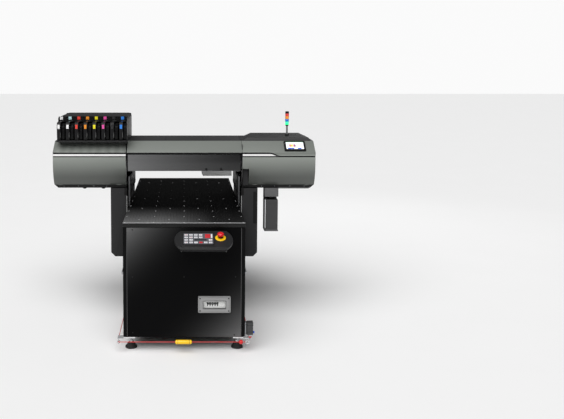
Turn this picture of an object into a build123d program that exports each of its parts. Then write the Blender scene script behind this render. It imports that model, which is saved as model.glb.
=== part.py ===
"""Flatbed UV inkjet printer: a vacuum table with a travelling, height-adjustable print unit.

Millimetres, +Z up, +Y to the rear, origin on the floor under the middle of the machine.
Depths are given from the table's front edge with back(), heights from the floor.
"""
from build123d import *
import os
from math import atan2, cos, degrees, hypot, pi, radians, sin, sqrt

os.makedirs("parts", exist_ok=True)

# Table
TABLE_FRONT = -918.0
TABLE_LENGTH = 2000.0
TABLE_HALF = 414.0
TABLE_TOP = 890.0
BED_SHEET = 6.0
RIM_DROP = 30.0
POST = 50.0
POST_OUTER = 390.0
FRAME_WALL = 3.0
FRAME_BOTTOM = 94.0
FRAME_TOP = 858.0
PANEL_BOTTOM = 100.0
PANEL_SHEET = 2.0
SIDE_SHEET = 3.0
SLOT_LOW = 490.0
SLOT_HIGH = 590.0
RAIL_Z = 540.0
RAIL_HALF = 10.0
FOOT_X = 366.0
FOOT_INSET = 82.0
FOOT_PAD_R = 41.0
STEM_R = 8.0
FIT = 0.1

# Print unit: depths and heights of its cross-section
UNIT_FRONT = 745.0
UNIT_REAR = 1560.0
UNIT_BOTTOM = 1020.0
UNIT_TOP = 1355.0
COVER_TOP = 1242.0
HINGE_Z = 1244.0
STRIPE_LOW = 1250.0
STRIPE_HIGH = 1265.0
BAND_LOW = 1277.0
BAND_BACK = 865.0
TOP_BACK = 1305.0
REAR_TOP = 1200.0
UNIT_HALF = 1006.0
END_HALF_LOW = 975.0
END_BEND_Z = 1022.0
HOUSING_INNER = 446.0
SHEET = 2.5
TRAY_LOW = 996.0
NOTCH_RIGHT = 497.0
NOTCH_TOP = 1151.0
WINDOW_LOW = 1135.0
WINDOW_HALF = 431.0
WINDOW_THICK = 5.0
LIFT_TRAVEL = 190.0

# Beam, carriage and side plates
BEAM_FRONT = 1090.0
BEAM_BACK = 1240.0
BEAM_LOW = 1130.0
BEAM_HIGH = 1330.0
CARRIAGE_LEFT = 137.0
CARRIAGE_RIGHT = 369.0
CARRIAGE_LOW = 1085.0
CARRIAGE_FRONT = 830.0
PLATE_IN = 426.0
PLATE_OUT = 438.0
LEG_IN = 440.0
LEG_OUT = 568.0
LEG_FRONT = 787.0
LEG_BACK = 1580.0
LEG_LOW = 459.0

# Ink tower
INK_COUNT = 8
INK_PITCH = 68.0
INK_FIRST_X = -947.0
INK_BASE = 1369.0
INK_FACE = 745.0
INK_SHELL_FRONT = 880.0
INK_SHELL_BACK = 1290.0
INK_TOP = 1548.0

# Operator console, breaker box and trip rope
CONSOLE_X = 129.0
CONSOLE_HALF = 194.0
FACE_FRONT = (-200.0, 767.0)
FACE_BACK = (-16.0, 841.0)
CONSOLE_DEEP = 45.0
BREAKER_LEFT = 95.0
BREAKER_RIGHT = 316.0
BREAKER_LOW = 272.0
BREAKER_HIGH = 386.0
ROPE_R = 2.5
ROPE_Z = 77.0
ROPE_X = 450.0
ROPE_FRONT = -30.0
ROPE_REAR = 2026.5
ROPE_BEND = 15.0


def back(depth):
    """Y of a depth measured from the table's front edge."""
    return TABLE_FRONT + depth


def block(x, depth, z):
    """Box from (low, high) pairs: X, depth behind the table's front edge, Z."""
    size = (x[1] - x[0], depth[1] - depth[0], z[1] - z[0])
    centre = (sum(x) / 2, back(sum(depth) / 2), sum(z) / 2)
    return Pos(*centre) * Box(*size)


def side_prism(points, x):
    """Extrude a (depth, z) outline from x[0] to x[1]."""
    outline = [(back(depth), z) for depth, z in points]
    face = make_face(Polyline(*outline, close=True))
    return extrude(Plane.YZ.offset(x[0]) * face, amount=x[1] - x[0])


def upright(x, depth, z, radius):
    """Vertical cylinder between two heights."""
    return Pos(x, back(depth), sum(z) / 2) * Cylinder(radius, z[1] - z[0])


def lying(x, depth, z, radius):
    """Cylinder along X between two values of X."""
    return Pos(sum(x) / 2, back(depth), z) * Rot(0, 90, 0) * Cylinder(radius, x[1] - x[0])


def facing(x, depth, z, radius):
    """Cylinder along Y between two depths."""
    return Pos(x, back(sum(depth) / 2), z) * Rot(90, 0, 0) * Cylinder(radius, depth[1] - depth[0])


def both(shape):
    """A left and a right copy, mirrored across the machine's centre plane."""
    return [shape, mirror(shape, about=Plane.YZ)]


def save(name, *shapes):
    """Write one node: a single solid, or separate solids in one group."""
    solids = [solid for shape in shapes for solid in shape.solids()]
    export_step(solids[0] if len(solids) == 1 else Compound(children=solids), f"parts/{name}.step")


def tube(x, depth, z, axis):
    """Square tube with open ends along axis "x", "y" or "z"."""
    outer = block(x, depth, z)
    inner = []
    for name, (low, high) in zip("xyz", (x, depth, z)):
        inner.append((low - 1, high + 1) if name == axis else (low + FRAME_WALL, high - FRAME_WALL))
    return outer - block(*inner)


# ---------------------------------------------------------------- table

def base_frame():
    inner = POST_OUTER - POST
    depths = (5.0, TABLE_LENGTH / 2 - POST / 2, TABLE_LENGTH - 5.0 - POST)
    side = []
    for depth in depths:
        side.append(tube((inner, POST_OUTER), (depth, depth + POST), (PANEL_BOTTOM, FRAME_TOP), "z"))
    for depth in (depths[0], depths[2]):
        foot_plate = block((inner, POST_OUTER), (depth, depth + POST), (FRAME_BOTTOM, PANEL_BOTTOM))
        foot_depth = FOOT_INSET if depth < 100 else TABLE_LENGTH - FOOT_INSET
        stem_hole = upright(FOOT_X, foot_depth, (FRAME_BOTTOM - 1, PANEL_BOTTOM + 1), STEM_R + FIT)
        wide = block((inner, POST_OUTER), (foot_depth - POST, foot_depth + POST), (FRAME_BOTTOM, PANEL_BOTTOM))
        side.append(foot_plate + wide - stem_hole)
    for start, end in zip(depths[:-1], depths[1:]):
        for low in (PANEL_BOTTOM + 8, FRAME_TOP - POST):
            side.append(tube((inner, POST_OUTER), (start + POST, end), (low, low + POST), "y"))
    for depth in (FOOT_INSET, TABLE_LENGTH - FOOT_INSET):
        relief = upright(FOOT_X, depth, (FRAME_BOTTOM, PANEL_BOTTOM + 30), STEM_R + 1)
        side = [member - relief if member.bounding_box().min.Z > FRAME_BOTTOM + 7 else member for member in side]
    side.append(block((POST_OUTER, 404), (20, TABLE_LENGTH - 20), (500, 580)))
    solids = [copy for member in side for copy in both(member)]
    for depth in depths:
        for low in (PANEL_BOTTOM + 8, FRAME_TOP - POST):
            solids.append(tube((-inner, inner), (depth, depth + POST), (low, low + POST), "x"))
    shelf = block((-inner, inner), (200, TABLE_LENGTH - 200), (PANEL_BOTTOM + 58, PANEL_BOTTOM + 61))
    bearers = [block((-inner, inner), (d, d + 40), (PANEL_BOTTOM + 8, PANEL_BOTTOM + 58)) for d in (300, 1600)]
    save("base_frame", *solids, shelf, *bearers)


def bed_plate():
    outer = block((-TABLE_HALF, TABLE_HALF), (0, TABLE_LENGTH), (TABLE_TOP - RIM_DROP, TABLE_TOP))
    hollow = block(
        (-TABLE_HALF + 3, TABLE_HALF - 3),
        (3, TABLE_LENGTH - 3),
        (TABLE_TOP - RIM_DROP - 1, TABLE_TOP - BED_SHEET),
    )
    save("bed_plate", fillet((outer - hollow).edges().group_by(Axis.Z)[-1].filter_by(Axis.X)[:1], 2))


def vacuum_plenum():
    x = TABLE_HALF - 12
    tray = block((-x, x), (12, TABLE_LENGTH - 12), (FRAME_TOP, TABLE_TOP - BED_SHEET))
    hollow = block((-x + 2, x - 2), (14, TABLE_LENGTH - 14), (FRAME_TOP + 2, TABLE_TOP))
    neck = upright(-150, 1400, (FRAME_TOP - 40, FRAME_TOP + 2), 40)
    bore = upright(-150, 1400, (FRAME_TOP - 41, FRAME_TOP + 3), 37)
    save("vacuum_plenum", tray - hollow + neck - bore)


def vacuum_blower():
    low = PANEL_BOTTOM + 61
    casing = facing(-150, (1300, 1420), low + 190, 170)
    motor = facing(-150, (1180, 1300), low + 190, 85)
    foot = block((-290, -10), (1320, 1400), (low, low + 60))
    duct = upright(-150, 1400, (low + 200, FRAME_TOP - 40), 40)
    bore = upright(-150, 1400, (low + 260, FRAME_TOP), 37)
    save("vacuum_blower", casing + motor + foot + duct - bore)


def panels():
    edge = POST_OUTER - 0.5
    front = block((-edge, edge), (3, 5), (PANEL_BOTTOM, FRAME_TOP - 1))
    cutout = block(
        (BREAKER_LEFT + 4, BREAKER_RIGHT - 4),
        (0, 10),
        (BREAKER_LOW + 4, BREAKER_HIGH - 4),
    )
    save("front_panel", front - cutout)
    rear = block((-edge, edge), (TABLE_LENGTH - 5, TABLE_LENGTH - 3), (PANEL_BOTTOM, FRAME_TOP - 1))
    save("rear_panel", rear - facing(250, (TABLE_LENGTH - 10, TABLE_LENGTH + 5), 240, 24))
    side = block((TABLE_HALF - SIDE_SHEET, TABLE_HALF), (3, TABLE_LENGTH - 3), (PANEL_BOTTOM, FRAME_TOP))
    slot = block((TABLE_HALF - 10, TABLE_HALF + 1), (20, TABLE_LENGTH - 20), (SLOT_LOW, SLOT_HIGH))
    side -= slot
    for depth in (3, TABLE_LENGTH - 5):
        side += block((POST_OUTER, TABLE_HALF - 1), (depth, depth + PANEL_SHEET), (PANEL_BOTTOM, FRAME_TOP))
    save("side_panels", *both(side))


def y_rails():
    rail = block((404, 424), (20, TABLE_LENGTH - 20), (RAIL_Z - RAIL_HALF, RAIL_Z + RAIL_HALF))
    for sign in (-1, 1):
        groove_z = RAIL_Z + sign * RAIL_HALF
        rail -= block((412, 417), (10, TABLE_LENGTH - 10), (groove_z - 2.5, groove_z + 2.5))
    save("y_rails", *both(rail))


def levelling_feet():
    for side_name, x in (("left", -FOOT_X), ("right", FOOT_X)):
        for end_name, depth in (("front", FOOT_INSET), ("rear", TABLE_LENGTH - FOOT_INSET)):
            pad = upright(x, depth, (0, 12), FOOT_PAD_R)
            cone = Pos(x, back(depth), 31) * Cone(FOOT_PAD_R - 5, 13, 38)
            stem = upright(x, depth, (50, 150), STEM_R)
            nut = Pos(x, back(depth), 87) * extrude(RegularPolygon(14, 6), amount=6.8)
            save(f"foot_{end_name}_{side_name}", pad + cone + stem + nut)


def control_box():
    low = PANEL_BOTTOM + 61
    case = block((60, 320), (500, 1100), (low, low + 300))
    hollow = block((62, 318), (502, 1098), (low + 2, low + 298))
    vent = block((50, 70), (600, 1000), (low + 60, low + 200))
    save("control_box", case - hollow - vent)


def power_inlet():
    flange = facing(250, (TABLE_LENGTH - 3, TABLE_LENGTH + 2), 240, 34)
    barrel = facing(250, (TABLE_LENGTH - 45, TABLE_LENGTH + 20), 240, 23.5)
    socket = facing(250, (TABLE_LENGTH - 25, TABLE_LENGTH + 21), 240, 19.5)
    pins = []
    for turn in range(5):
        angle = 2 * pi * turn / 5
        pins.append(facing(250 + 12 * sin(angle), (TABLE_LENGTH - 27, TABLE_LENGTH + 10), 240 + 12 * cos(angle), 2.5))
    save("power_inlet", flange + barrel - socket + pins)


def panel_screws():
    screws = []
    for x in (-345, -115, 115, 345):
        for z in (PANEL_BOTTOM + 30, FRAME_TOP - 24):
            screws.append(facing(x, (0.5, 3), z, 5))
            screws.append(facing(x, (TABLE_LENGTH - 3, TABLE_LENGTH - 0.5), z, 5))
    save("panel_screws", *screws)


# ---------------------------------------------------------------- operator console

SLOPE = atan2(FACE_BACK[1] - FACE_FRONT[1], FACE_BACK[0] - FACE_FRONT[0])
FACE_LONG = hypot(FACE_BACK[0] - FACE_FRONT[0], FACE_BACK[1] - FACE_FRONT[1])
FACE_MIDDLE = (CONSOLE_X, back((FACE_BACK[0] + FACE_FRONT[0]) / 2), (FACE_BACK[1] + FACE_FRONT[1]) / 2)
CONSOLE_PLANE = Plane(origin=FACE_MIDDLE, x_dir=(1, 0, 0), z_dir=(0, -sin(SLOPE), cos(SLOPE)))
SCREEN_U = 94.0 - CONSOLE_X
ESTOP_U = 241.0 - CONSOLE_X
ESTOP_V = 11.0


def console_outline(inset):
    """Stadium-like face: straight long edges and bulging ends."""
    half = CONSOLE_HALF - inset
    deep = FACE_LONG / 2 - inset
    shoulder = half - 42
    path = Polyline((-shoulder, deep), (shoulder, deep))
    path += ThreePointArc((shoulder, deep), (half, 0), (shoulder, -deep))
    path += Polyline((shoulder, -deep), (-shoulder, -deep))
    path += ThreePointArc((-shoulder, -deep), (-half, 0), (-shoulder, deep))
    return make_face(path)


def on_face(shape, u=0.0, v=0.0, w=0.0):
    """Place a shape on the console's sloping face."""
    return CONSOLE_PLANE * Pos(u, v, w) * shape


def console():
    body = extrude(console_outline(0), amount=-CONSOLE_DEEP)
    body = fillet(body.edges().group_by(Axis.Z)[-1], 8)
    body -= Pos(0, 0, -3) * extrude(console_outline(4), amount=-CONSOLE_DEEP)
    body -= Pos(SCREEN_U, 0, -2) * Box(180, 116, 12)
    body -= Pos(ESTOP_U, ESTOP_V, -2) * Cylinder(16, 12)
    save("console_housing", on_face(body))
    screen = Pos(SCREEN_U, 0, 2) * Box(206, 134, 4) + Pos(SCREEN_U, 0, -8) * Box(179, 115, 16)
    save("console_screen", on_face(screen))
    collar = Pos(ESTOP_U, ESTOP_V, 3) * Cylinder(35, 6) + Pos(ESTOP_U, ESTOP_V, -9) * Cylinder(15.8, 18)
    save("estop_collar", on_face(collar - Pos(ESTOP_U, ESTOP_V, 0) * Cylinder(9, 60)))
    profile = Polyline((0, -14), (8.9, -14), (8.9, 16), (14, 22), (22.5, 27), (22.5, 34), (16, 41), (0, 43), close=True)
    knob = revolve(Plane.XZ * make_face(profile), axis=Axis.Z)
    save("estop_knob", on_face(knob, ESTOP_U, ESTOP_V))


def console_bracket():
    """Wedge under the console, fixed to the front panel."""
    normal = (-sin(SLOPE), cos(SLOPE))
    foot = (FACE_BACK[0] - CONSOLE_DEEP * normal[0], FACE_BACK[1] - CONSOLE_DEEP * normal[1])
    slope = (FACE_BACK[1] - FACE_FRONT[1]) / (FACE_BACK[0] - FACE_FRONT[0])
    at_panel = (3, foot[1] + (3 - foot[0]) * slope)
    at_front = (-118, foot[1] + (-118 - foot[0]) * slope)
    outline = [(3, 698), at_panel, at_front, (-118, at_front[1] - 8), (-24, 698)]
    wedge = side_prism(outline, (-24, 288))
    inner = [(4, 701), (4, at_panel[1] + 2), (-110, at_front[1] + 3), (-110, at_front[1] - 2), (-23, 701)]
    save("console_bracket", wedge - side_prism(inner, (-21, 285)))


# ---------------------------------------------------------------- breaker box

MODULE = 17.5
MODULES_LEFT = 150.0
HANDLE_PIVOT = (16.0, 328.0)


def breaker_box():
    frame = block((BREAKER_LEFT, BREAKER_RIGHT), (-8, 3), (BREAKER_LOW, BREAKER_HIGH))
    frame = fillet(frame.edges().filter_by(Axis.Y), 4)
    body = block((BREAKER_LEFT + 5, BREAKER_RIGHT - 5), (3, 75), (BREAKER_LOW + 5, BREAKER_HIGH - 5))
    hollow = block((BREAKER_LEFT + 8, BREAKER_RIGHT - 8), (0, 72), (BREAKER_LOW + 8, BREAKER_HIGH - 8))
    window = block((131, 282), (-9, 10), (302, 354))
    save("breaker_box", frame + body - hollow - window)
    door = block((131.6, 281.4), (-7.5, -4.5), (302.6, 352))
    door += lying((131.6, 281.4), -6, 352, 1.5)
    save("breaker_door", door)
    width = 5 * MODULE
    modules = block((MODULES_LEFT, MODULES_LEFT + width), (10, 71), (290, 366))
    modules -= block((MODULES_LEFT + 4, MODULES_LEFT + width - 4), (9, 26), (313, 343))
    modules -= lying((MODULES_LEFT + 1, MODULES_LEFT + width - 1), HANDLE_PIVOT[0], HANDLE_PIVOT[1], 2.05)
    save("breaker_modules", modules)


def breaker_handle():
    width = 5 * MODULE
    low, high = MODULES_LEFT + 5, MODULES_LEFT + width - 5
    barrel = lying((low, high), HANDLE_PIVOT[0], HANDLE_PIVOT[1], 8)
    pin = lying((low - 3.5, high + 3.5), HANDLE_PIVOT[0], HANDLE_PIVOT[1], 2)
    lever = Pos(0, back(HANDLE_PIVOT[0]), HANDLE_PIVOT[1]) * Rot(-25, 0, 0)
    tabs = []
    for index in range(5):
        x = MODULES_LEFT + (index + 0.5) * MODULE
        width = MODULE - 9.5 if index in (0, 4) else MODULE - 6
        tabs.append(lever * Pos(x, -10, 0) * Box(width, 14, 5))
    bar = lever * Pos((low + high) / 2, -13.5, 0) * Box(high - low - 4, 4, 4)
    save("breaker_handle", barrel + pin + tabs + bar)


# ---------------------------------------------------------------- emergency trip rope

ROPE_POINTS = [
    (451.0, 32.0),
    (ROPE_X, ROPE_REAR),
    (-ROPE_X, ROPE_REAR),
    (-ROPE_X, ROPE_FRONT),
    (416.0, ROPE_FRONT),
]


def ring(x, depth, turn, radius=11.0):
    """Eye whose hole faces along Y, turned about Z."""
    return Pos(x, back(depth), ROPE_Z) * Rot(0, 0, turn) * Rot(90, 0, 0) * Torus(radius, 3)


def trip_rope():
    points = [(x, back(depth), ROPE_Z) for x, depth in ROPE_POINTS]
    path = FilletPolyline(*points, radius=ROPE_BEND)
    start = Plane(origin=path @ 0, z_dir=path % 0)
    rope = sweep(start * Circle(ROPE_R), path=path)
    print("trip rope", round(path.length), "mm, bends", ROPE_BEND)
    save("trip_rope", rope)


def rope_fittings():
    inset = ROPE_BEND * (1 - 1 / sqrt(2))
    corners = [
        (ROPE_X - inset, ROPE_REAR - inset, 45, (2, TABLE_LENGTH - 20, TABLE_LENGTH + 34)),
        (-ROPE_X + inset, ROPE_REAR - inset, -45, (-2, TABLE_LENGTH - 20, TABLE_LENGTH + 34)),
        (-ROPE_X + inset, ROPE_FRONT + inset, 45, (-2, -38, 22)),
    ]
    solids = []
    for x, depth, turn, (sign, near, far) in corners:
        stem = upright(x, depth, (ROPE_Z + 12.5, 103), 3.5)
        x_pair = sorted((x + 6 * sign / 2, (TABLE_HALF - 2) * sign / 2))
        arm = block(tuple(x_pair), (near, far), (101, 105)) - block((-411.5, 411.5), (3, 1998), (90, 110))
        arm -= block((-TABLE_HALF, TABLE_HALF), (3, TABLE_LENGTH - 3), (PANEL_BOTTOM, 110))
        solids.append(ring(x, depth, turn) + stem + arm)
    end = ring(430, ROPE_FRONT, 0) + upright(430, ROPE_FRONT, (ROPE_Z + 12.5, 103), 3.5)
    end += block((404, 438), (-38, 3), (101, 105))
    solids.append(end)
    save("rope_fittings", *solids)


def rope_trims():
    marker = Pos(-3.5, back(ROPE_FRONT), ROPE_Z) * Rot(0, 90, 0) * (Cylinder(14.5, 111) - Cylinder(ROPE_R, 120))
    save("rope_marker", chamfer(marker.edges().filter_by(GeomType.CIRCLE).sort_by(SortBy.RADIUS)[-2:], 5))
    ball = Pos(386, back(ROPE_FRONT), ROPE_Z) * (Sphere(15) - Rot(0, 90, 0) * Cylinder(ROPE_R, 40))
    save("rope_ball", ball)


def rope_switch():
    body = block((430, 470), (-10, 50), (118, 199))
    body = fillet(body.edges().filter_by(Axis.Z), 5)
    body += block((TABLE_HALF, 430), (-4, 44), (120, 197))
    body -= lying((458, 475), 20, 128, 8.2)
    save("rope_switch_body", body)
    boot = upright(451, 20, (106, 118), 17) + Pos(451, back(20), 99) * Cone(9, 15, 14)
    eye = upright(451, 20, (ROPE_Z + 8.5, 93), 3.5)
    save("rope_switch_boot", boot + eye + ring(451, 20, 90, 9))
    save("rope_switch_reset", lying((463.5, 481), 20, 128, 8))


# ---------------------------------------------------------------- print unit covers

def unit_face(inset):
    """Cross-section of the print unit, shrunk by inset on every side."""
    arc_end = (back(UNIT_FRONT), 1180)
    path = ThreePointArc((back(805), UNIT_BOTTOM), (back(762), 1092), arc_end)
    corners = [arc_end, (back(UNIT_FRONT), BAND_LOW), (back(BAND_BACK), UNIT_TOP), (back(TOP_BACK), UNIT_TOP)]
    corners += [(back(UNIT_REAR), REAR_TOP), (back(UNIT_REAR), UNIT_BOTTOM), (back(805), UNIT_BOTTOM)]
    face = make_face(path + Polyline(*corners))
    return offset(face, amount=-inset, kind=Kind.INTERSECTION) if inset else face


def unit_prism(inset, x):
    return extrude(Plane.YZ.offset(x[0]) * unit_face(inset), amount=x[1] - x[0])


def end_outline(inset, inner=HOUSING_INNER):
    """Front view of the right housing: upright end that tucks in towards the bottom."""
    low, high = 900.0, UNIT_TOP + 50
    path = Polyline((inner + inset, high), (inner + inset, low), (END_HALF_LOW - 12 - inset, low))
    path += Line((END_HALF_LOW - 12 - inset, low), (END_HALF_LOW - inset, TRAY_LOW))
    path += Line((END_HALF_LOW - inset, TRAY_LOW), (UNIT_HALF - inset, END_BEND_Z))
    path += Polyline((UNIT_HALF - inset, END_BEND_Z), (UNIT_HALF - inset, high), (inner + inset, high))
    return extrude(Plane.XZ.offset(-1000) * make_face(path), amount=2200)


def housing_shell():
    """Right housing, open at the bottom and behind the front cover, with a doorway for beam and carriage."""
    x = (HOUSING_INNER, UNIT_HALF)
    outer = unit_prism(0, x) & end_outline(0)
    inner = unit_prism(SHEET, x) & end_outline(SHEET)
    shell = outer - inner
    shell -= block((HOUSING_INNER + 8, UNIT_HALF - 60), (820, UNIT_REAR - 8), (UNIT_BOTTOM - 5, UNIT_BOTTOM + 5))
    shell -= front_band(4.5, (0, UNIT_HALF + 10))
    shell -= block((HOUSING_INNER - 5, UNIT_HALF + 5), (UNIT_FRONT - 5, UNIT_FRONT + 12), (HINGE_Z - 14, HINGE_Z + 2))
    doorway = block((HOUSING_INNER - 5, HOUSING_INNER + 5), (818, 1078), (1070, UNIT_TOP - 20))
    beam_way = block((HOUSING_INNER - 5, HOUSING_INNER + 5), (1060, BEAM_BACK + 3), (BEAM_LOW - 3, BEAM_HIGH + 3))
    return shell - doorway - beam_way


def front_band(depth, x, low=UNIT_BOTTOM - 5, high=HINGE_Z + 2):
    """The skin of the cross-section, up to the front cover's hinge line."""
    skin = unit_prism(0, x) - unit_prism(depth, x)
    return skin & block(x, (UNIT_FRONT - 5, 812), (low, high))


def front_cover():
    x = (HOUSING_INNER + 1, UNIT_HALF)
    cover = front_band(3, x, UNIT_BOTTOM, COVER_TOP) & end_outline(0.5, HOUSING_INNER + 1)
    return cover + lying((HOUSING_INNER + 60, UNIT_HALF - 12), UNIT_FRONT + 4, HINGE_Z - 4, 2)


def housings():
    shell = housing_shell()
    raised = block((HOUSING_INNER + 1, 985), (880, 1300), (UNIT_TOP, 1372))
    save("right_housing", shell + fillet(raised.edges().group_by(Axis.Z)[-1], 5))
    save("left_housing", mirror(shell, about=Plane.YZ))
    cover = front_cover()
    notch = block((HOUSING_INNER - 1, NOTCH_RIGHT), (UNIT_FRONT - 5, 820), (UNIT_BOTTOM - 5, NOTCH_TOP))
    save("right_front_cover", cover - notch)
    save("left_front_cover", mirror(cover, about=Plane.YZ))


def center_cover():
    x = (-HOUSING_INNER + 0.5, HOUSING_INNER - 0.5)
    shell = unit_prism(0, x) - unit_prism(SHEET, (-HOUSING_INNER, HOUSING_INNER))
    shell -= block((-500, 500), (700, 1000), (900, BAND_LOW - 10))
    save("center_cover", shell - block((-500, 500), (700, 1600), (900, BEAM_LOW)))


def window():
    x = (-WINDOW_HALF, WINDOW_HALF)
    sheet = block(x, (UNIT_FRONT, UNIT_FRONT + WINDOW_THICK), (WINDOW_LOW, STRIPE_HIGH - 1))
    sheet += lying(x, UNIT_FRONT + 3, STRIPE_HIGH - 3, 2.6)
    lip = block(x, (UNIT_FRONT + WINDOW_THICK, UNIT_FRONT + 22), (WINDOW_LOW, WINDOW_LOW + 4))
    grips = [facing(px, (UNIT_FRONT - 7, UNIT_FRONT), WINDOW_LOW + 15, 9) for px in (170, 284)]
    save("window", sheet + lip + grips)


def bottom_trays():
    x = (HOUSING_INNER, UNIT_HALF)
    tray = block(x, (805, UNIT_REAR - 4), (TRAY_LOW, UNIT_BOTTOM)) & end_outline(1)
    tray -= block((x[0] + 3, x[1]), (808, UNIT_REAR - 7), (TRAY_LOW + 3, UNIT_BOTTOM + 5)) & end_outline(4)
    tray -= block((PLATE_IN - 5, LEG_OUT + 4), (LEG_FRONT - 5, LEG_BACK + 5), (900, UNIT_BOTTOM + 5))
    holder = block((622, 728), (890, 893), (662, TRAY_LOW)) + block((622, 728), (775, 893), (660, 663))
    holder += block((622, 728), (775, 893), (930, TRAY_LOW))
    holder -= block((625, 725), (778, 890), (920, TRAY_LOW - 3))
    knobs = [upright(kx, 860, (TRAY_LOW - 14, TRAY_LOW), 15) for kx in (-778, -631)]
    stop = block((HOUSING_INNER + 6, NOTCH_RIGHT - 2), (775, 811), (UNIT_BOTTOM, NOTCH_TOP - 3))
    save("bottom_trays", tray, mirror(tray, about=Plane.YZ), holder, stop, *knobs)


def waste_bottle():
    bottle = block((624, 726), (777, 888), (664, 928))
    bottle = fillet(bottle.edges().filter_by(Axis.Z), 8)
    save("waste_bottle", bottle - block((627, 723), (780, 885), (667, 940)) + block((627, 723), (780, 885), (667, 780)))


def trim_stripes():
    left = block((-UNIT_HALF + 4, -HOUSING_INNER), (UNIT_FRONT - 2, UNIT_FRONT), (STRIPE_LOW, STRIPE_HIGH))
    low, high = STRIPE_LOW, STRIPE_HIGH
    wedge = [(HOUSING_INNER, high), (HOUSING_INNER, low), (700, low), (640, low + 4), (590, high)]
    outline = make_face(Polyline(*wedge, close=True))
    right = extrude(Plane.XZ.offset(-back(UNIT_FRONT)) * outline, amount=2)
    save("trim_stripes", left, right)


# ---------------------------------------------------------------- beam, plates, legs and carriage

def gantry_beam():
    x = (-985, 985)
    beam = block(x, (BEAM_FRONT, BEAM_BACK), (BEAM_LOW, BEAM_HIGH))
    beam -= block((-990, 990), (BEAM_FRONT + 6, BEAM_BACK - 6), (BEAM_LOW + 6, BEAM_HIGH - 6))
    save("gantry_beam", beam)


def x_drive():
    solids = []
    for z in (1160, 1300):
        solids.append(block((-960, 960), (BEAM_FRONT - 15, BEAM_FRONT), (z - 10, z + 10)))
    for z in (1212, 1246):
        solids.append(block((-900, 900), (BEAM_FRONT - 20, BEAM_FRONT - 8), (z, z + 2)))
    for x in (-900, 900):
        pulley = facing(x, (BEAM_FRONT - 22, BEAM_FRONT - 6), 1230, 15.9)
        solids.append(pulley + facing(x, (BEAM_FRONT - 6, BEAM_FRONT), 1230, 8))
    motor = block((870, 930), (985, BEAM_FRONT - 22), (1200, 1260))
    save("x_drive", *solids, fillet(motor.edges().filter_by(Axis.Y), 6))


def side_plates():
    outline = [(900, 800), (1040, 800), (1040, 690), (1345, 690), (1345, 800), (1480, 800)]
    outline += [(1480, BEAM_LOW), (1085, BEAM_LOW), (1085, 1070), (900, 1070)]
    plate = side_prism(outline, (PLATE_IN, PLATE_OUT))
    for depth in (1070, 1315):
        rail = block((PLATE_OUT, PLATE_OUT + 10), (depth - 10, depth + 10), (690, 985))
        plate += rail
    nut = block((PLATE_OUT, 459), (1170, 1210), (735, 760)) - upright(449, 1190, (730, 770), 6 + FIT)
    plate += nut + block((PLATE_OUT, 450), (950, 1450), (990, TRAY_LOW + 20))
    save("side_plates", *both(plate))


def y_carriages():
    solids = block((460, 472), (830, 1540), (490, 790))
    for depth in (880, 1400):
        shoe = block((408, 460), (depth, depth + 100), (515, 565))
        gap = RAIL_HALF + 0.3
        shoe -= block((400, 424.3), (depth - 1, depth + 101), (RAIL_Z - gap, RAIL_Z + gap))
        solids += shoe
    for depth in (1070, 1315):
        guide = block((440, 460), (depth - 25, depth + 25), (700, 790))
        solids += guide - block((430, 448.3), (depth - 10.3, depth + 10.3), (690, 800))
    screw = upright(449, 1190, (500, 790), 6) + block((441, 460), (1165, 1215), (500, 540))
    motor = block((472, 540), (1155, 1225), (520, 600))
    save("y_carriages", *both(solids + screw + motor))


def leg_covers():
    outline = Polyline((LEG_IN, TRAY_LOW), (LEG_IN, LEG_LOW), (LEG_OUT - 32, LEG_LOW))
    outline += Polyline((LEG_OUT - 32, LEG_LOW), (LEG_OUT, LEG_LOW + 32), (LEG_OUT, TRAY_LOW), (LEG_IN, TRAY_LOW))
    outer = extrude(Plane.XZ.offset(-back(LEG_BACK)) * make_face(outline), amount=LEG_BACK - LEG_FRONT)
    hollow = offset(make_face(outline), amount=-2, kind=Kind.INTERSECTION)
    inner = extrude(Plane.XZ.offset(-back(LEG_BACK - 2)) * hollow, amount=LEG_BACK - LEG_FRONT - 4)
    inner += block((LEG_IN - 5, LEG_IN + 10), (LEG_FRONT + 2, LEG_BACK - 2), (LEG_LOW + 2, TRAY_LOW + 5))
    inner += block((LEG_IN - 5, LEG_OUT - 2), (LEG_FRONT + 2, LEG_BACK - 2), (TRAY_LOW - 10, TRAY_LOW + 5))
    save("leg_covers", *both(outer - inner))


def carriage():
    x = (CARRIAGE_LEFT, CARRIAGE_RIGHT)
    body = block(x, (CARRIAGE_FRONT, 1062), (CARRIAGE_LOW, 1312))
    body = chamfer(body.edges().filter_by(Axis.Y).group_by(Axis.Z)[0][:1], 8)
    body -= block((x[0] + 4, x[1] - 4), (CARRIAGE_FRONT + 4, 1058), (CARRIAGE_LOW + 10, 1308))
    heads = []
    for offset_x in (36, 94, 152):
        pocket = (x[0] + offset_x, x[0] + offset_x + 44)
        heads.append(block(pocket, (870, 1010), (CARRIAGE_LOW + 0.5, CARRIAGE_LOW + 90)))
    for lamp_left in (x[0] + 6, x[1] - 36):
        heads.append(block((lamp_left, lamp_left + 30), (860, 1030), (CARRIAGE_LOW + 10, CARRIAGE_LOW + 110)))
    for head in heads[:3]:
        body -= head
    for z in (1160, 1300):
        shoe = block((x[0] + 30, x[1] - 30), (1062, BEAM_FRONT - 2), (z - 22, min(z + 22, 1312)))
        body += shoe - block((x[0], x[1]), (BEAM_FRONT - 15.3, BEAM_FRONT), (z - 10.3, z + 10.3))
    save("carriage_body", body)
    save("print_heads", *heads)


def maintenance_station():
    base = block((520, 860), (900, 1055), (UNIT_BOTTOM, 1052))
    caps = [block((cx, cx + 44), (915, 1035), (1052, 1072)) for cx in (560, 618, 676)]
    wiper = block((780, 786), (910, 1040), (1052, 1076))
    save("maintenance_station", base + caps + wiper)


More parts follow.
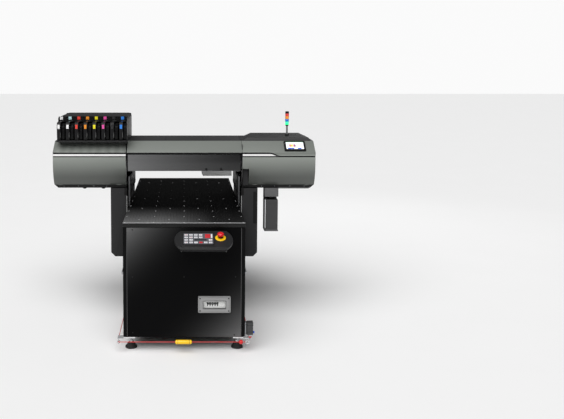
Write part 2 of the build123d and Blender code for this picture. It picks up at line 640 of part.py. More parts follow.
# ---------------------------------------------------------------- ink tower, signal tower, touch screen

def ink_tower():
    left = INK_FIRST_X - 34
    right = INK_FIRST_X + (INK_COUNT - 1) * INK_PITCH + 34
    shell = block((left, right), (INK_FACE + 10, INK_SHELL_BACK), (UNIT_TOP, INK_BASE))
    shell -= unit_prism(0, (left - 5, right + 5)) + block((left - 5, right + 5), (700, BAND_BACK), (1300, UNIT_TOP + 2))
    upper = block((left, right), (INK_SHELL_FRONT, INK_SHELL_BACK), (INK_BASE, INK_TOP))
    shell += chamfer(upper.edges().filter_by(Axis.X).group_by(Axis.Z)[-1], 10)
    for index in range(INK_COUNT):
        x = INK_FIRST_X + index * INK_PITCH
        shell -= block((x - 32, x + 32), (INK_SHELL_FRONT - 1, 1284), (INK_BASE + 2, 1500))
        shell -= block((x - 32, x + 32), (INK_SHELL_FRONT + 6, 1284), (1499, INK_TOP - 4))
        drawer = block((x - 30, x + 30), (INK_SHELL_FRONT, 1270), (INK_BASE + 4, 1494))
        drawer += block((x - 31, x + 31), (INK_FACE + 4, INK_SHELL_FRONT), (INK_BASE + 2, 1515))
        drawer -= block((x - 27, x + 27), (INK_SHELL_FRONT + 20, 1264), (INK_BASE + 60, 1500))
        save(f"ink_drawer_{index + 1}", drawer)
    save("ink_tower_shell", shell)


def signal_tower():
    x, depth = 823.0, 1041.0
    stack = upright(x, depth, (1372, 1376), 26) + upright(x, depth, (1376, 1392), 15)
    stack += upright(x, depth, (1392, 1462), 7.5) + upright(x, depth, (1462, 1572), 15)
    save("signal_tower", stack + Pos(x, back(depth), 1572) * Cone(15, 11, 6))


def touch_screen():
    slope = atan2(UNIT_TOP - BAND_LOW, BAND_BACK - UNIT_FRONT)
    centre = (853, back((UNIT_FRONT + BAND_BACK) / 2), (BAND_LOW + UNIT_TOP) / 2)
    plane = Plane(origin=centre, x_dir=(1, 0, 0), z_dir=(0, -sin(slope), cos(slope)))
    screen = fillet((Pos(0, 0, 7) * Box(164, 114, 14)).edges().group_by(Axis.Z)[-1], 3)
    save("touch_screen", plane * screen)


for make in (base_frame, bed_plate, vacuum_plenum, vacuum_blower, panels, y_rails):
    make()
for make in (levelling_feet, control_box, power_inlet, panel_screws):
    make()
for make in (console, console_bracket, breaker_box, breaker_handle):
    make()
for make in (trip_rope, rope_fittings, rope_trims, rope_switch):
    make()
for make in (housings, center_cover, window, bottom_trays, waste_bottle, trim_stripes):
    make()
for make in (gantry_beam, x_drive, side_plates, y_carriages, leg_covers, carriage):
    make()
for make in (maintenance_station, ink_tower, signal_tower, touch_screen):
    make()
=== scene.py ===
from math import atan2, cos, hypot, pi, radians, sin, tan

import bmesh
import bpy
from mathutils import Matrix, Vector


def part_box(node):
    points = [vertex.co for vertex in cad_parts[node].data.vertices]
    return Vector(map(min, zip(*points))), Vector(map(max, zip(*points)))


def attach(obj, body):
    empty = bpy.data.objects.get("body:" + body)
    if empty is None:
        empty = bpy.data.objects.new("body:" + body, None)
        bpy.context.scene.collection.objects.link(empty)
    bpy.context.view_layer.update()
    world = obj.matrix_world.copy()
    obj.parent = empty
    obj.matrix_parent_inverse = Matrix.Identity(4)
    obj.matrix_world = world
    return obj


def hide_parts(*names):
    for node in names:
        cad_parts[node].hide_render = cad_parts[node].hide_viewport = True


bl_info = {
    "name": "Flatbed printer builder",
    "version": (1, 0, 0),
    "blender": (4, 5, 0),
    "location": "3D View > Sidebar > Printer",
    "description": "Builds the finished surfaces of a flatbed inkjet printer around its mechanical frame",
    "category": "Object",
}

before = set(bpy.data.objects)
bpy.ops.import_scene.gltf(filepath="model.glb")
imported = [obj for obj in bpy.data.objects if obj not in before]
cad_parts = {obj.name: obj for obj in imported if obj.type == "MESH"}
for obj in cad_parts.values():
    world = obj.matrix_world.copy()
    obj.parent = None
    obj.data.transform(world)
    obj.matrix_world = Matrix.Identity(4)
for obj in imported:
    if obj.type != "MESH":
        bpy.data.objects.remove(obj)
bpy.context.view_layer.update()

BED_LOW, BED_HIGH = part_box("bed_plate")
HOUSE_LOW, HOUSE_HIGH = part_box("left_housing")
WINDOW_LOW, WINDOW_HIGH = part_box("window")
TABLE_FRONT = BED_LOW.y
FACE = HOUSE_LOW.y
REAR = HOUSE_HIGH.y
TOP = HOUSE_HIGH.z
HALF = -HOUSE_LOW.x
SEAM = -HOUSE_HIGH.x


# ---------------------------------------------------------------- outlines and mesh building

def rounded(points, radius, steps=5, closed=False):
    """The polyline with each corner turned into an arc."""
    result = []
    count = len(points)
    for index, corner in enumerate(points):
        here = Vector(corner)
        if not closed and index in (0, count - 1):
            result.append(tuple(here))
            continue
        before = Vector(points[index - 1]) - here
        after = Vector(points[(index + 1) % count]) - here
        turn = before.angle(after)
        if turn > pi - 0.02:
            result.append(tuple(here))
            continue
        reach = min(radius / tan(turn / 2), before.length * 0.48, after.length * 0.48)
        arc = reach * tan(turn / 2)
        bisector = (before.normalized() + after.normalized()).normalized()
        centre = here + bisector * (arc / sin(turn / 2))
        start = here + before.normalized() * reach - centre
        end = here + after.normalized() * reach - centre
        for step in range(steps + 1):
            blend = start.lerp(end, step / steps)
            result.append(tuple(centre + blend.normalized() * arc))
    return result


def thick(points, depth):
    """A closed outline: the polyline and its copy moved sideways by depth."""
    inner = []
    for index, point in enumerate(points):
        here = Vector(point)
        before = (here - Vector(points[index - 1])).normalized() if index else None
        after = (Vector(points[index + 1]) - here).normalized() if index + 1 < len(points) else None
        along = (before or after) + (after or before)
        along.normalize()
        side = Vector((along.y, -along.x))
        flat = before or after
        stretch = max(0.5, side.dot(Vector((flat.y, -flat.x))))
        inner.append(tuple(here + side * (depth / stretch)))
    return list(points) + inner[::-1]


def oval(width, height, steps=24):
    """Points of an ellipse centred on zero."""
    angles = [2 * pi * k / steps for k in range(steps)]
    return [(width / 2 * cos(a), height / 2 * sin(a)) for a in angles]


def patch(width, height, radius, steps=5, centre=(0.0, 0.0)):
    """Points of a rectangle with round corners."""
    x, y = width / 2, height / 2
    corners = rounded([(-x, -y), (x, -y), (x, y), (-x, y)], radius, steps, True)
    return [(centre[0] + u, centre[1] + v) for u, v in corners]


class Shape:
    """Collects closed solids, each with bevelled edges and a material number."""

    def __init__(self):
        self.bm = bmesh.new()

    def add(self, part, material=0, bevel=0.0, segments=2, matrix=None, angle=25):
        bmesh.ops.recalc_face_normals(part, faces=part.faces)
        if bevel:
            sharp = [e for e in part.edges
                     if len(e.link_faces) == 2 and e.calc_face_angle(0) > radians(angle)]
            bmesh.ops.bevel(part, geom=sharp, offset=bevel, segments=segments, profile=0.6, affect="EDGES",
                            clamp_overlap=True)
        if matrix:
            bmesh.ops.transform(part, matrix=matrix, verts=part.verts)
        for face in part.faces:
            face.material_index = material
        mesh = bpy.data.meshes.new("part")
        part.to_mesh(mesh)
        part.free()
        self.bm.from_mesh(mesh)
        bpy.data.meshes.remove(mesh)
        return self

    def box(self, low, high, material=0, bevel=0.0, **more):
        """A block between two opposite corners, given in either order."""
        part = bmesh.new()
        bmesh.ops.create_cube(part, size=1.0)
        low, high = [Vector(map(limit, low, high)) for limit in (min, max)]
        size = high - low
        for vert in part.verts:
            vert.co = Vector([vert.co[i] * size[i] + (low[i] + high[i]) / 2 for i in range(3)])
        return self.add(part, material, bevel, **more)

    def prism(self, outline, axis, low, high, material=0, bevel=0.0, **more):
        """Extrude a closed outline along "x" (points are y, z), "y" (x, z) or "z" (x, y)."""
        part = bmesh.new()
        place = {
            "x": lambda u, v, w: (w, u, v),
            "y": lambda u, v, w: (u, w, v),
            "z": lambda u, v, w: (u, v, w),
        }[axis]
        low, high = sorted((low, high))
        near = [part.verts.new(place(u, v, low)) for u, v in outline]
        far = [part.verts.new(place(u, v, high)) for u, v in outline]
        part.faces.new(near)
        part.faces.new(far)
        for index in range(len(outline)):
            after = (index + 1) % len(outline)
            part.faces.new((near[index], near[after], far[after], far[index]))
        return self.add(part, material, bevel, **more)

    def lathe(self, profile, centre, direction=(0, 0, 1), material=0, steps=32):
        """Turn (radius, height) points about an axis; a profile that stays off the axis makes a ring."""
        part = bmesh.new()
        rings = []
        for radius, height in profile:
            if radius < 1e-7:
                rings.append([part.verts.new((0, 0, height))])
            else:
                ring = [(radius * cos(2 * pi * k / steps), radius * sin(2 * pi * k / steps), height)
                        for k in range(steps)]
                rings.append([part.verts.new(co) for co in ring])
        pairs = list(zip(rings[:-1], rings[1:]))
        if len(rings[0]) > 1 and len(rings[-1]) > 1:
            pairs.append((rings[-1], rings[0]))
        for one, two in pairs:
            for k in range(steps):
                after = (k + 1) % steps
                corners = [one[k % len(one)], one[after % len(one)], two[after % len(two)], two[k % len(two)]]
                unique = list(dict.fromkeys(corners))
                if len(unique) > 2:
                    part.faces.new(unique)
        turn = Vector((0, 0, 1)).rotation_difference(Vector(direction)).to_matrix().to_4x4()
        return self.add(part, material, matrix=Matrix.Translation(centre) @ turn)

    def node(self, name, material=0):
        """The CAD node's own shape, with merged faces."""
        part = bmesh.new()
        part.from_mesh(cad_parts[name].data)
        bmesh.ops.remove_doubles(part, verts=part.verts, dist=1e-6)
        bmesh.ops.dissolve_limit(part, angle_limit=radians(0.5), verts=part.verts, edges=part.edges)
        return self.add(part, material)

    def piece(self, name, body, slot, finishes, replaces=(), smooth=35):
        """Make the object, which rides on body and takes the place of the named CAD nodes."""
        bmesh.ops.dissolve_degenerate(self.bm, edges=self.bm.edges, dist=1e-6)
        mesh = bpy.data.meshes.new(name)
        self.bm.to_mesh(mesh)
        self.bm.free()
        for finish in finishes.split():
            mesh.materials.append(FINISH[finish])
        mesh.shade_smooth()
        mesh.set_sharp_from_angle(angle=radians(smooth))
        return settle(name, mesh, body, replaces)


def settle(name, mesh, body, replaces=()):
    """Link a finished mesh as a piece of the printer."""
    piece = bpy.data.objects.new(name, mesh)
    bpy.context.scene.collection.objects.link(piece)
    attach(piece, body)
    if replaces:
        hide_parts(*replaces)
    return piece


def local(origin, x_dir, normal):
    """Matrix of a frame on a sloping face."""
    z = Vector(normal).normalized()
    x = Vector(x_dir).normalized()
    y = z.cross(x)
    return Matrix.Translation(origin) @ Matrix((x, y, z)).transposed().to_4x4()


# ---------------------------------------------------------------- shader expressions

class Value:
    """A shader socket used in Python expressions; each operator adds a Math node."""

    def __init__(self, shade, socket):
        self.shade = shade
        self.socket = socket

    def math(self, operation, other, swapped=False):
        pair = (other, self) if swapped else (self, other)
        return self.shade.node("ShaderNodeMath", {"operation": operation}, {0: pair[0], 1: pair[1]})

    def __add__(self, other):
        return self.math("ADD", other)

    __radd__ = __add__

    def __mul__(self, other):
        return self.math("MULTIPLY", other)

    __rmul__ = __mul__

    def __sub__(self, other):
        return self.math("SUBTRACT", other)

    def __rsub__(self, other):
        return self.math("SUBTRACT", other, swapped=True)

    def __truediv__(self, other):
        return self.math("DIVIDE", other)

    def __pow__(self, other):
        return self.math("POWER", other)

    def clamped(self):
        """Limited to the range from 0 to 1."""
        return self.shade.node("ShaderNodeClamp", None, {0: self})

    def sine(self):
        return self.shade.node("ShaderNodeMath", {"operation": "SINE"}, {0: self})


class Shade:
    """A material with one Principled shader, whose constants are set on its own sockets."""

    def __init__(self, name, color, roughness, metallic=0.0, **more):
        self.material = bpy.data.materials.new(name)
        self.material.use_nodes = True
        self.tree = self.material.node_tree
        self.shader = self.tree.nodes["Principled BSDF"]
        self.color = tuple(color[:3]) + (1.0,)
        self.shader.inputs["Base Color"].default_value = self.color
        self.shader.inputs["Roughness"].default_value = roughness
        self.shader.inputs["Metallic"].default_value = metallic
        for key, value in more.items():
            self.shader.inputs[key.replace("_", " ")].default_value = value
        self.material.diffuse_color = self.color

    def node(self, kind, settings=None, inputs=None, output=0):
        node = self.tree.nodes.new(kind)
        for key, value in (settings or {}).items():
            setattr(node, key, value)
        for key, value in (inputs or {}).items():
            if isinstance(value, Value):
                self.tree.links.new(value.socket, node.inputs[key])
            else:
                node.inputs[key].default_value = value
        return Value(self, node.outputs[output])

    def place(self, stretch=(1, 1, 1)):
        coordinates = self.node("ShaderNodeTexCoord", output=3)
        return self.node("ShaderNodeMapping", None, {"Vector": coordinates, "Scale": stretch})

    def axis(self, letter):
        """One coordinate of the object, in metres."""
        return self.node("ShaderNodeSeparateXYZ", None, {0: self.node("ShaderNodeTexCoord", output=3)},
                         "XYZ".index(letter))

    def noise(self, scale, detail=3.0, roughness=0.55, stretch=(1, 1, 1)):
        return self.node("ShaderNodeTexNoise", None, {
            "Vector": self.place(stretch), "Scale": scale, "Detail": detail, "Roughness": roughness})

    def cells(self, scale):
        return self.node("ShaderNodeTexVoronoi", None, {"Vector": self.place(), "Scale": scale})

    def mix(self, factor, one, two):
        inputs = {0: factor, 6: one, 7: two}
        return self.node("ShaderNodeMix", {"data_type": "RGBA"}, inputs, 2)

    def tint(self, factor, scale):
        """Vary the base colour between itself and itself times scale."""
        other = tuple(min(1.0, c * scale) for c in self.color[:3]) + (1.0,)
        return self.drive("Base Color", self.mix(factor, self.color, other))

    def drive(self, name, value):
        self.tree.links.new(value.socket, self.shader.inputs[name])
        return self

    def bump(self, height, strength=0.2, distance=0.0005):
        normal = self.node("ShaderNodeBump", None,
                           {"Height": height, "Strength": strength, "Distance": distance})
        return self.drive("Normal", normal)


def painted(name, color, roughness, sheen=0.5, grain=420.0, texture=0.12):
    """Sprayed paint: orange peel, faint cloudiness, slightly uneven gloss."""
    shade = Shade(name, color, roughness, Specular_IOR_Level=sheen)
    cloud = shade.noise(6.0, 4.0)
    shade.tint(cloud, 0.86)
    shade.drive("Roughness", cloud * 0.08 + (roughness - 0.04))
    shade.bump(shade.noise(grain, 2.0), texture, 0.0004)
    return shade.material


def moulded(name, color, roughness, sheen=0.5):
    """Fine-textured plastic moulding."""
    shade = Shade(name, color, roughness, Specular_IOR_Level=sheen)
    spots = shade.cells(900.0)
    shade.tint(shade.noise(9.0, 3.0), 0.82)
    shade.drive("Roughness", shade.noise(40.0, 3.0) * 0.12 + (roughness - 0.06))
    shade.bump(spots, 0.25, 0.0002)
    return shade.material


def brushed(name, color, roughness, axis=0, metallic=1.0):
    """Metal with fine scratches along one axis."""
    stretch = [900.0, 900.0, 900.0]
    stretch[axis] = 9.0
    shade = Shade(name, color, roughness, metallic)
    lines = shade.noise(1.0, 5.0, 0.6, tuple(stretch))
    shade.tint(lines, 0.75)
    shade.drive("Roughness", lines * 0.2 + (roughness - 0.1))
    shade.bump(lines, 0.12, 0.0002)
    return shade.material


def glossy(name, color, roughness):
    """Smooth glossy plastic with slight scuffs."""
    shade = Shade(name, color, roughness)
    scuffs = shade.noise(60.0, 5.0, 0.7)
    shade.tint(scuffs, 0.9)
    shade.drive("Roughness", scuffs * 0.14 + (roughness - 0.05))
    shade.bump(shade.noise(200.0, 2.0), 0.03, 0.0003)
    return shade.material


# ---------------------------------------------------------------- geometry nodes

class Tree:
    """A geometry node group with named inputs, ending in Realize Instances and Set Material."""

    KINDS = {"float": "NodeSocketFloat", "int": "NodeSocketInt", "material": "NodeSocketMaterial",
             "vector": "NodeSocketVector"}

    def __init__(self, name, **inputs):
        self.tree = bpy.data.node_groups.new(name, "GeometryNodeTree")
        self.tree.interface.new_socket("Geometry", in_out="INPUT", socket_type="NodeSocketGeometry")
        self.tree.interface.new_socket("Geometry", in_out="OUTPUT", socket_type="NodeSocketGeometry")
        for label, kind in inputs.items():
            self.tree.interface.new_socket(label, in_out="INPUT", socket_type=self.KINDS[kind])
        self.source = self.tree.nodes.new("NodeGroupInput")

    def given(self, label):
        return self.source.outputs[label]

    def node(self, kind, settings=None, inputs=None, output=0):
        node = self.tree.nodes.new(kind)
        for key, value in (settings or {}).items():
            setattr(node, key, value)
        for key, value in (inputs or {}).items():
            for link in value if isinstance(value, list) else [value]:
                if isinstance(link, bpy.types.NodeSocket):
                    self.tree.links.new(link, node.inputs[key])
                else:
                    node.inputs[key].default_value = link
        return node.outputs[output]

    def maths(self, operation, one, two):
        return self.node("ShaderNodeMath", {"operation": operation}, {0: one, 1: two})

    def painted(self, geometry, material):
        return self.node("GeometryNodeSetMaterial", None, {"Geometry": geometry, "Material": material})

    def moved(self, geometry, x=0.0, y=0.0, z=0.0):
        offset = self.node("ShaderNodeCombineXYZ", None, {"X": x, "Y": y, "Z": z})
        return self.node("GeometryNodeTransform", None, {"Geometry": geometry, "Translation": offset})

    def finish(self, geometry):
        solid = self.node("GeometryNodeRealizeInstances", None, {"Geometry": geometry})
        end = self.tree.nodes.new("NodeGroupOutput")
        self.tree.links.new(solid, end.inputs[0])
        return self.tree


def fastener_tree():
    """A domed head with a dark hexagon socket at every point."""
    tree = Tree("fasteners", Radius="float", Height="float", Turn="vector",
                Metal="material", Socket="material")
    radius, height = tree.given("Radius"), tree.given("Height")
    half = tree.maths("MULTIPLY", height, 0.5)
    crown = tree.maths("MULTIPLY", radius, 0.72)
    head = tree.node("GeometryNodeMeshCone", None, {
        "Vertices": 14, "Radius Top": crown, "Radius Bottom": radius, "Depth": height})
    socket = tree.node("GeometryNodeMeshCylinder", None, {
        "Vertices": 6, "Radius": tree.maths("MULTIPLY", radius, 0.42), "Depth": half})
    socket = tree.moved(socket, z=tree.maths("MULTIPLY", height, 0.78))
    both = tree.node("GeometryNodeJoinGeometry", None, {
        "Geometry": [tree.painted(head, tree.given("Metal")), tree.painted(socket, tree.given("Socket"))]})
    placed = tree.node("GeometryNodeInstanceOnPoints", None, {
        "Points": tree.given("Geometry"), "Instance": both, "Rotation": tree.given("Turn")})
    return tree.finish(placed)


def louvre_tree():
    """A row of tilted slats down a line."""
    tree = Tree("louvres", Width="float", Pitch="float", Count="int", Blade="float", Steel="material")
    line = tree.node("GeometryNodeMeshLine", None, {
        "Count": tree.given("Count"),
        "Offset": tree.node("ShaderNodeCombineXYZ", None,
                            {"Z": tree.maths("MULTIPLY", tree.given("Pitch"), -1.0)})})
    size = tree.node("ShaderNodeCombineXYZ", None, {
        "X": tree.given("Width"), "Y": tree.given("Blade"),
        "Z": tree.maths("MULTIPLY", tree.given("Blade"), 0.2)})
    blade = tree.node("GeometryNodeMeshCube", None, {"Size": size})
    row = tree.node("GeometryNodeInstanceOnPoints", None, {
        "Points": line, "Instance": blade, "Rotation": (radians(40), 0.0, 0.0)})
    placed = tree.node("GeometryNodeInstanceOnPoints", None, {
        "Points": tree.given("Geometry"),
        "Instance": tree.node("GeometryNodeRealizeInstances", None, {"Geometry": row})})
    return tree.finish(tree.painted(placed, tree.given("Steel")))


def perforation_tree():
    """A field of small sunk rings, one per point, for the bed's suction holes."""
    tree = Tree("perforation", Radius="float", Rim="float", Dark="material")
    ring = tree.node("GeometryNodeMeshCone", None, {
        "Vertices": 8, "Radius Top": tree.maths("MULTIPLY", tree.given("Radius"), 0.6),
        "Radius Bottom": tree.given("Radius"), "Depth": tree.given("Rim")})
    placed = tree.node("GeometryNodeInstanceOnPoints", None, {
        "Points": tree.given("Geometry"), "Instance": ring})
    return tree.finish(tree.painted(placed, tree.given("Dark")))


def grown(name, tree, points, values, body, replaces=()):
    """Run a node group on points and keep the result as a plain mesh piece."""
    seed = bpy.data.meshes.new(name + "_seed")
    seed.from_pydata([tuple(p) for p in points], [], [])
    carrier = bpy.data.objects.new(name + "_seed", seed)
    bpy.context.scene.collection.objects.link(carrier)
    modifier = carrier.modifiers.new("grow", "NODES")
    modifier.node_group = tree
    for item in tree.interface.items_tree:
        if item.item_type == "SOCKET" and item.name in values:
            modifier[item.identifier] = values[item.name]
    graph = bpy.context.evaluated_depsgraph_get()
    mesh = bpy.data.meshes.new_from_object(carrier.evaluated_get(graph))
    carrier.modifiers.remove(modifier)
    bpy.data.objects.remove(carrier)
    bpy.data.meshes.remove(seed)
    mesh.name = name
    return settle(name, mesh, body, replaces)


TREES = {}


def fasteners(name, points, turn, radius, height, body, metal="zinc", replaces=()):
    """Screw heads at the points, all turned the same way."""
    values = {"Radius": radius, "Height": height, "Turn": turn, "Metal": FINISH[metal],
              "Socket": FINISH["soot"]}
    return grown(name, TREES["fastener"], points, values, body, replaces)


FACING_FRONT = (pi / 2, 0.0, 0.0)
FACING_REAR = (-pi / 2, 0.0, 0.0)
FACING_UP = (0.0, 0.0, 0.0)
FACING_RIGHT = (0.0, pi / 2, 0.0)
FACING_LEFT = (0.0, -pi / 2, 0.0)


# ---------------------------------------------------------------- finishes

FINISH = {}


def linear(rgb):
    """Screen colour from 0 to 255 as linear light."""
    return tuple(((c / 255 + 0.055) / 1.055) ** 2.4 if c > 10 else c / 255 / 12.92 for c in rgb)


# Painted shade on the housing paint: darker down the hollow underside and again on the slanted band; the
# range scales its shaded and lit tones.
BELLY_SHADE_START = 1.045
BAND_SHADE_START = 1.255
FLUTE_START = 0.947
FLUTE_PITCH = 0.068
PAINTED_SHADE_RANGE = (0.52, 1.58)


def housing_paint(name, color, flutes=False):
    """Metallic grey with fine flakes, with painted shade: darker down the hollow underside and somewhat
    darker on the slanted band.
    """
    shade = Shade(name, color, 0.36, 0.15, Coat_Weight=0.15, Coat_Roughness=0.15)
    flakes = shade.cells(1400.0)
    cloud = shade.noise(3.0, 3.0)
    # Painted shade: lighter up the belly towards the band, then darker on the band itself.
    painted_light_rise = ((shade.axis("Z") - BELLY_SHADE_START) / 0.19).clamped()
    band = ((shade.axis("Z") - BAND_SHADE_START) / 0.01).clamped()
    blend = painted_light_rise ** 1.5 - band * 0.4 - cloud * 0.1 - flakes * 0.08
    shade.drive("Roughness", cloud * 0.06 + 0.31)
    height = shade.noise(500.0, 2.0)
    if flutes:
        wave = ((shade.axis("X") + FLUTE_START) * (2 * pi / FLUTE_PITCH)).sine()
        # Painted shading of the flutes: the base colour goes lighter and darker with each flute, beside the
        # bumped shape.
        blend = blend - wave * 0.09
        shade.bump(wave * 3.0 + height * 0.05, 0.5, 0.0012)
    else:
        shade.bump(height, 0.08, 0.0003)
    # Shaded and lit tones of the painted shade.
    shaded_tone, full = [tuple(c * scale for c in color) + (1.0,) for scale in PAINTED_SHADE_RANGE]
    shade.drive("Base Color", shade.mix(blend.clamped(), shaded_tone, full))
    return shade.material


def bed_finish(name, color):
    """Black anodised bed with a painted sheen, brighter near the front and towards the operator's left, with
    cross scuffs.
    """
    shade = Shade(name, color, 0.5, Specular_IOR_Level=0.02)
    scuffs = shade.noise(30.0, 6.0, 0.7, (1, 6, 1))
    # Painted sheen: lighter towards the front edge and the left, broken up by the scuffs.
    near = ((shade.axis("Y") * -1.0 + (TABLE_FRONT + 0.62)) / 0.62).clamped()
    side = ((0.2 - shade.axis("X")) / 0.36).clamped()
    painted_sheen = near ** 1.7 * (side * 0.9 + 0.1) * (scuffs * 0.5 + 0.75)
    bright = shade.mix(painted_sheen, shade.color, (0.165, 0.165, 0.166, 1.0))
    shade.drive("Base Color", bright)
    shade.drive("Roughness", scuffs * 0.16 + 0.4)
    shade.bump(shade.noise(700.0, 2.0), 0.15, 0.0002)
    return shade.material


def panel_finish(name, color, painted_corner_sheen=False):
    """Powder-coated sheet with faint wipe marks; the door gets a painted sheen, paler towards two opposite
    corners.
    """
    shade = Shade(name, color, 0.36, Specular_IOR_Level=0.04)
    wipes = shade.noise(2.5, 5.0, 0.65, (1, 1, 3))
    pale = wipes * 0.05
    if painted_corner_sheen:
        # Painted sheen, paler towards the upper left and the lower right corners.
        slant = ((shade.axis("Z") - 0.485) / 0.375 - shade.axis("X") / 0.39) * 0.5
        pale = (slant * slant) ** 2.1 * (wipes * 0.3 + 0.85)
    shade.drive("Base Color", shade.mix(pale.clamped(), shade.color, (0.14, 0.14, 0.141, 1.0)))
    shade.drive("Roughness", wipes * 0.14 + 0.3)
    shade.bump(shade.noise(650.0, 2.5), 0.2, 0.0003)
    return shade.material


def smoked_finish(name, color):
    """Smoked acrylic sheet with a painted reflection, lighter towards the left and darkest towards the
    maintenance side, with a haze of fine scratches.
    """
    shade = Shade(name, color, 0.22, Coat_Weight=0.2, Coat_Roughness=0.08, IOR=1.49, Specular_IOR_Level=0.3)
    haze = shade.noise(4.0, 5.0, 0.6, (1, 1, 5))
    lines = shade.noise(1.0, 3.0, 0.5, (2, 2, 300))
    # Painted reflection: lighter towards the left, streaked by the fine lines.
    clear = ((SEAM - shade.axis("X")) / (2 * SEAM)).clamped()
    painted_reflection_tone = shade.mix(clear ** 1.4 * (lines * 0.3 + 0.85), shade.color, (0.145, 0.146, 0.148, 1.0))
    shade.drive("Base Color", painted_reflection_tone)
    shade.drive("Roughness", haze * 0.1 + lines * 0.08 + 0.14)
    return shade.material


def rope_finish(name, color):
    """Red plastic sheath over twisted steel strands."""
    shade = Shade(name, color, 0.35, Coat_Weight=0.3)
    twist = (shade.axis("X") + shade.axis("Y")) * 900.0 + shade.axis("Z") * 1600.0
    strands = twist.sine()
    shade.tint(strands * 0.5 + 0.5, 0.7)
    shade.bump(strands, 0.5, 0.0006)
    return shade.material


def lens_finish(name, color, glow):
    """Ribbed coloured lens of the signal tower."""
    shade = Shade(name, color, 0.2, Coat_Weight=0.5)
    ribs = (shade.axis("Z") * 2400.0).sine()
    shade.tint(ribs * 0.5 + 0.5, 0.75)
    shade.bump(ribs, 0.4, 0.0005)
    shade.shader.inputs["Emission Color"].default_value = shade.color
    shade.shader.inputs["Emission Strength"].default_value = glow
    return shade.material


def screen_finish(name, color, glow):
    """Backlit display area with a fine raster."""
    shade = Shade(name, color, 0.12, Coat_Weight=0.8, Coat_Roughness=0.03)
    raster = shade.cells(900.0)
    lit = shade.mix(raster * 0.4, shade.color, tuple(c * 0.8 for c in shade.color[:3]) + (1.0,))
    shade.drive("Base Color", lit)
    shade.drive("Emission Color", lit)
    shade.shader.inputs["Emission Strength"].default_value = glow
    return shade.material


def clear_finish(name, color):
    """Clear flap with a slight grey tint and wipe marks."""
    shade = Shade(name, color, 0.08, Coat_Weight=0.5)
    marks = shade.noise(20.0, 4.0)
    shade.drive("Alpha", marks * 0.04 + 0.01)
    shade.drive("Roughness", marks * 0.12 + 0.04)
    return shade.material


LABEL_COLORS = {
    "label_white": (250, 250, 250), "label_clear": (196, 232, 236), "label_red": (238, 66, 52),
    "label_orange": (246, 152, 34), "label_yellow": (250, 238, 30), "label_pink": (240, 84, 172),
    "label_black": (30, 30, 32), "label_blue": (44, 136, 236),
}


# Plain finishes: material, colour (0 to 255, or linear light below 1), roughness, sheen, grain, texture.
PAINTED = {
    "frame": ("frame_black", (0.004, 0.004, 0.004), 0.45, 0.3),
    "leg": ("leg_graphite", (44, 44, 45), 0.5, 0.2),
    "tray": ("tray_black", (0.004, 0.004, 0.004), 0.4, 0.3),
    "cast": ("blower_grey", (88, 90, 94), 0.55, 0.5, 180.0, 0.4),
    "carriage": ("carriage_grey", (232, 232, 232), 0.4),
    "hanging": ("hanging_grey", (58, 58, 59), 0.5),
    "bright_plate": ("bright_plate", (235, 236, 238), 0.35),
    "pole": ("pole_grey", (128, 130, 130), 0.35),
    "carriage_lip": ("carriage_lip", (244, 244, 244), 0.35),
    "steel_pale": ("steel_pale", (158, 158, 158), 0.4),
    "holder": ("holder_grey", (96, 96, 97), 0.45),
    "leg_edge": ("leg_edge", (92, 92, 93), 0.4),
    "bed_lip": ("bed_lip", (190, 190, 192), 0.35),
    "panel_edge": ("panel_edge", (72, 72, 73), 0.4),
    "black_screw": ("black_screw", (0.003, 0.003, 0.003), 0.35),
}

MOULDED = {
    "top": ("top_graphite", (50, 50, 51), 0.55, 0.3),
    "tower": ("tower_black", (42, 42, 43), 0.42, 0.2),
    "drawer": ("drawer_black", (18, 18, 19), 0.38, 0.15),
    "soot": ("soot_black", (0.002, 0.002, 0.002), 0.7, 0.3),
    "console": ("console_black", (36, 36, 37), 0.4, 0.3),
    "breaker": ("breaker_grey", (150, 150, 150), 0.4),
    "module": ("module_pale", (250, 250, 248), 0.45),
    "rubber": ("foot_rubber", (0.012, 0.012, 0.012), 0.75),
    "drawer_bar": ("drawer_bar", (22, 22, 23), 0.32, 0.2),
    "key_grey": ("key_grey", (92, 92, 98), 0.4),
    "key_white": ("key_white", (228, 228, 232), 0.4),
    "key_red": ("key_red", (200, 44, 52), 0.4),
    "breaker_rim": ("breaker_rim", (110, 110, 110), 0.4),
}

GLOSSY = {
    "stripe": ("stripe_white", (0.92, 0.92, 0.91), 0.25),
    "window_edge": ("window_edge", (96, 97, 98), 0.3),
    "yellow": ("signal_yellow", (255, 205, 20), 0.3),
    "red": ("signal_red", (214, 28, 34), 0.22),
    "blue": ("reset_blue", (20, 88, 210), 0.25),
    "bar_edge": ("bar_edge", (128, 128, 128), 0.3),
}

# Brushed metals: material, colour, roughness, the scratches' axis, metallic.
BRUSHED = {
    "dark_metal": ("foot_steel", (84, 84, 86), 0.38, 2),
    "zinc": ("zinc_plate", (170, 172, 175), 0.4, 0),
    "rail": ("ground_steel", (180, 180, 184), 0.3, 1),
    "beam": ("beam_aluminium", (120, 121, 124), 0.42, 0),
    "plate": ("plate_aluminium", (150, 151, 153), 0.38, 2),
    "chrome": ("bright_chrome", (225, 226, 228), 0.2, 2, 0.5),
    "bed_edge": ("bed_edge", (58, 58, 60), 0.4, 0, 0.6),
    "screw_bright": ("screw_bright", (215, 215, 217), 0.4, 0, 0.1),
}

SCREEN_COLORS = {
    "ui_red": (230, 70, 60), "ui_orange": (244, 168, 60), "ui_yellow": (240, 220, 90),
    "ui_pink": (220, 110, 170), "ui_green": (90, 160, 110), "ui_blue": (28, 82, 190),
    "ui_dark": (60, 62, 68), "screen_white": (250, 250, 252),
}

LENSES = {
    "lens_red": ((222, 48, 42), 0.25), "lens_amber": ((244, 150, 36), 0.25),
    "lens_blue": ((26, 120, 210), 0.25), "lens_green": ((40, 222, 120), 2.2),
}


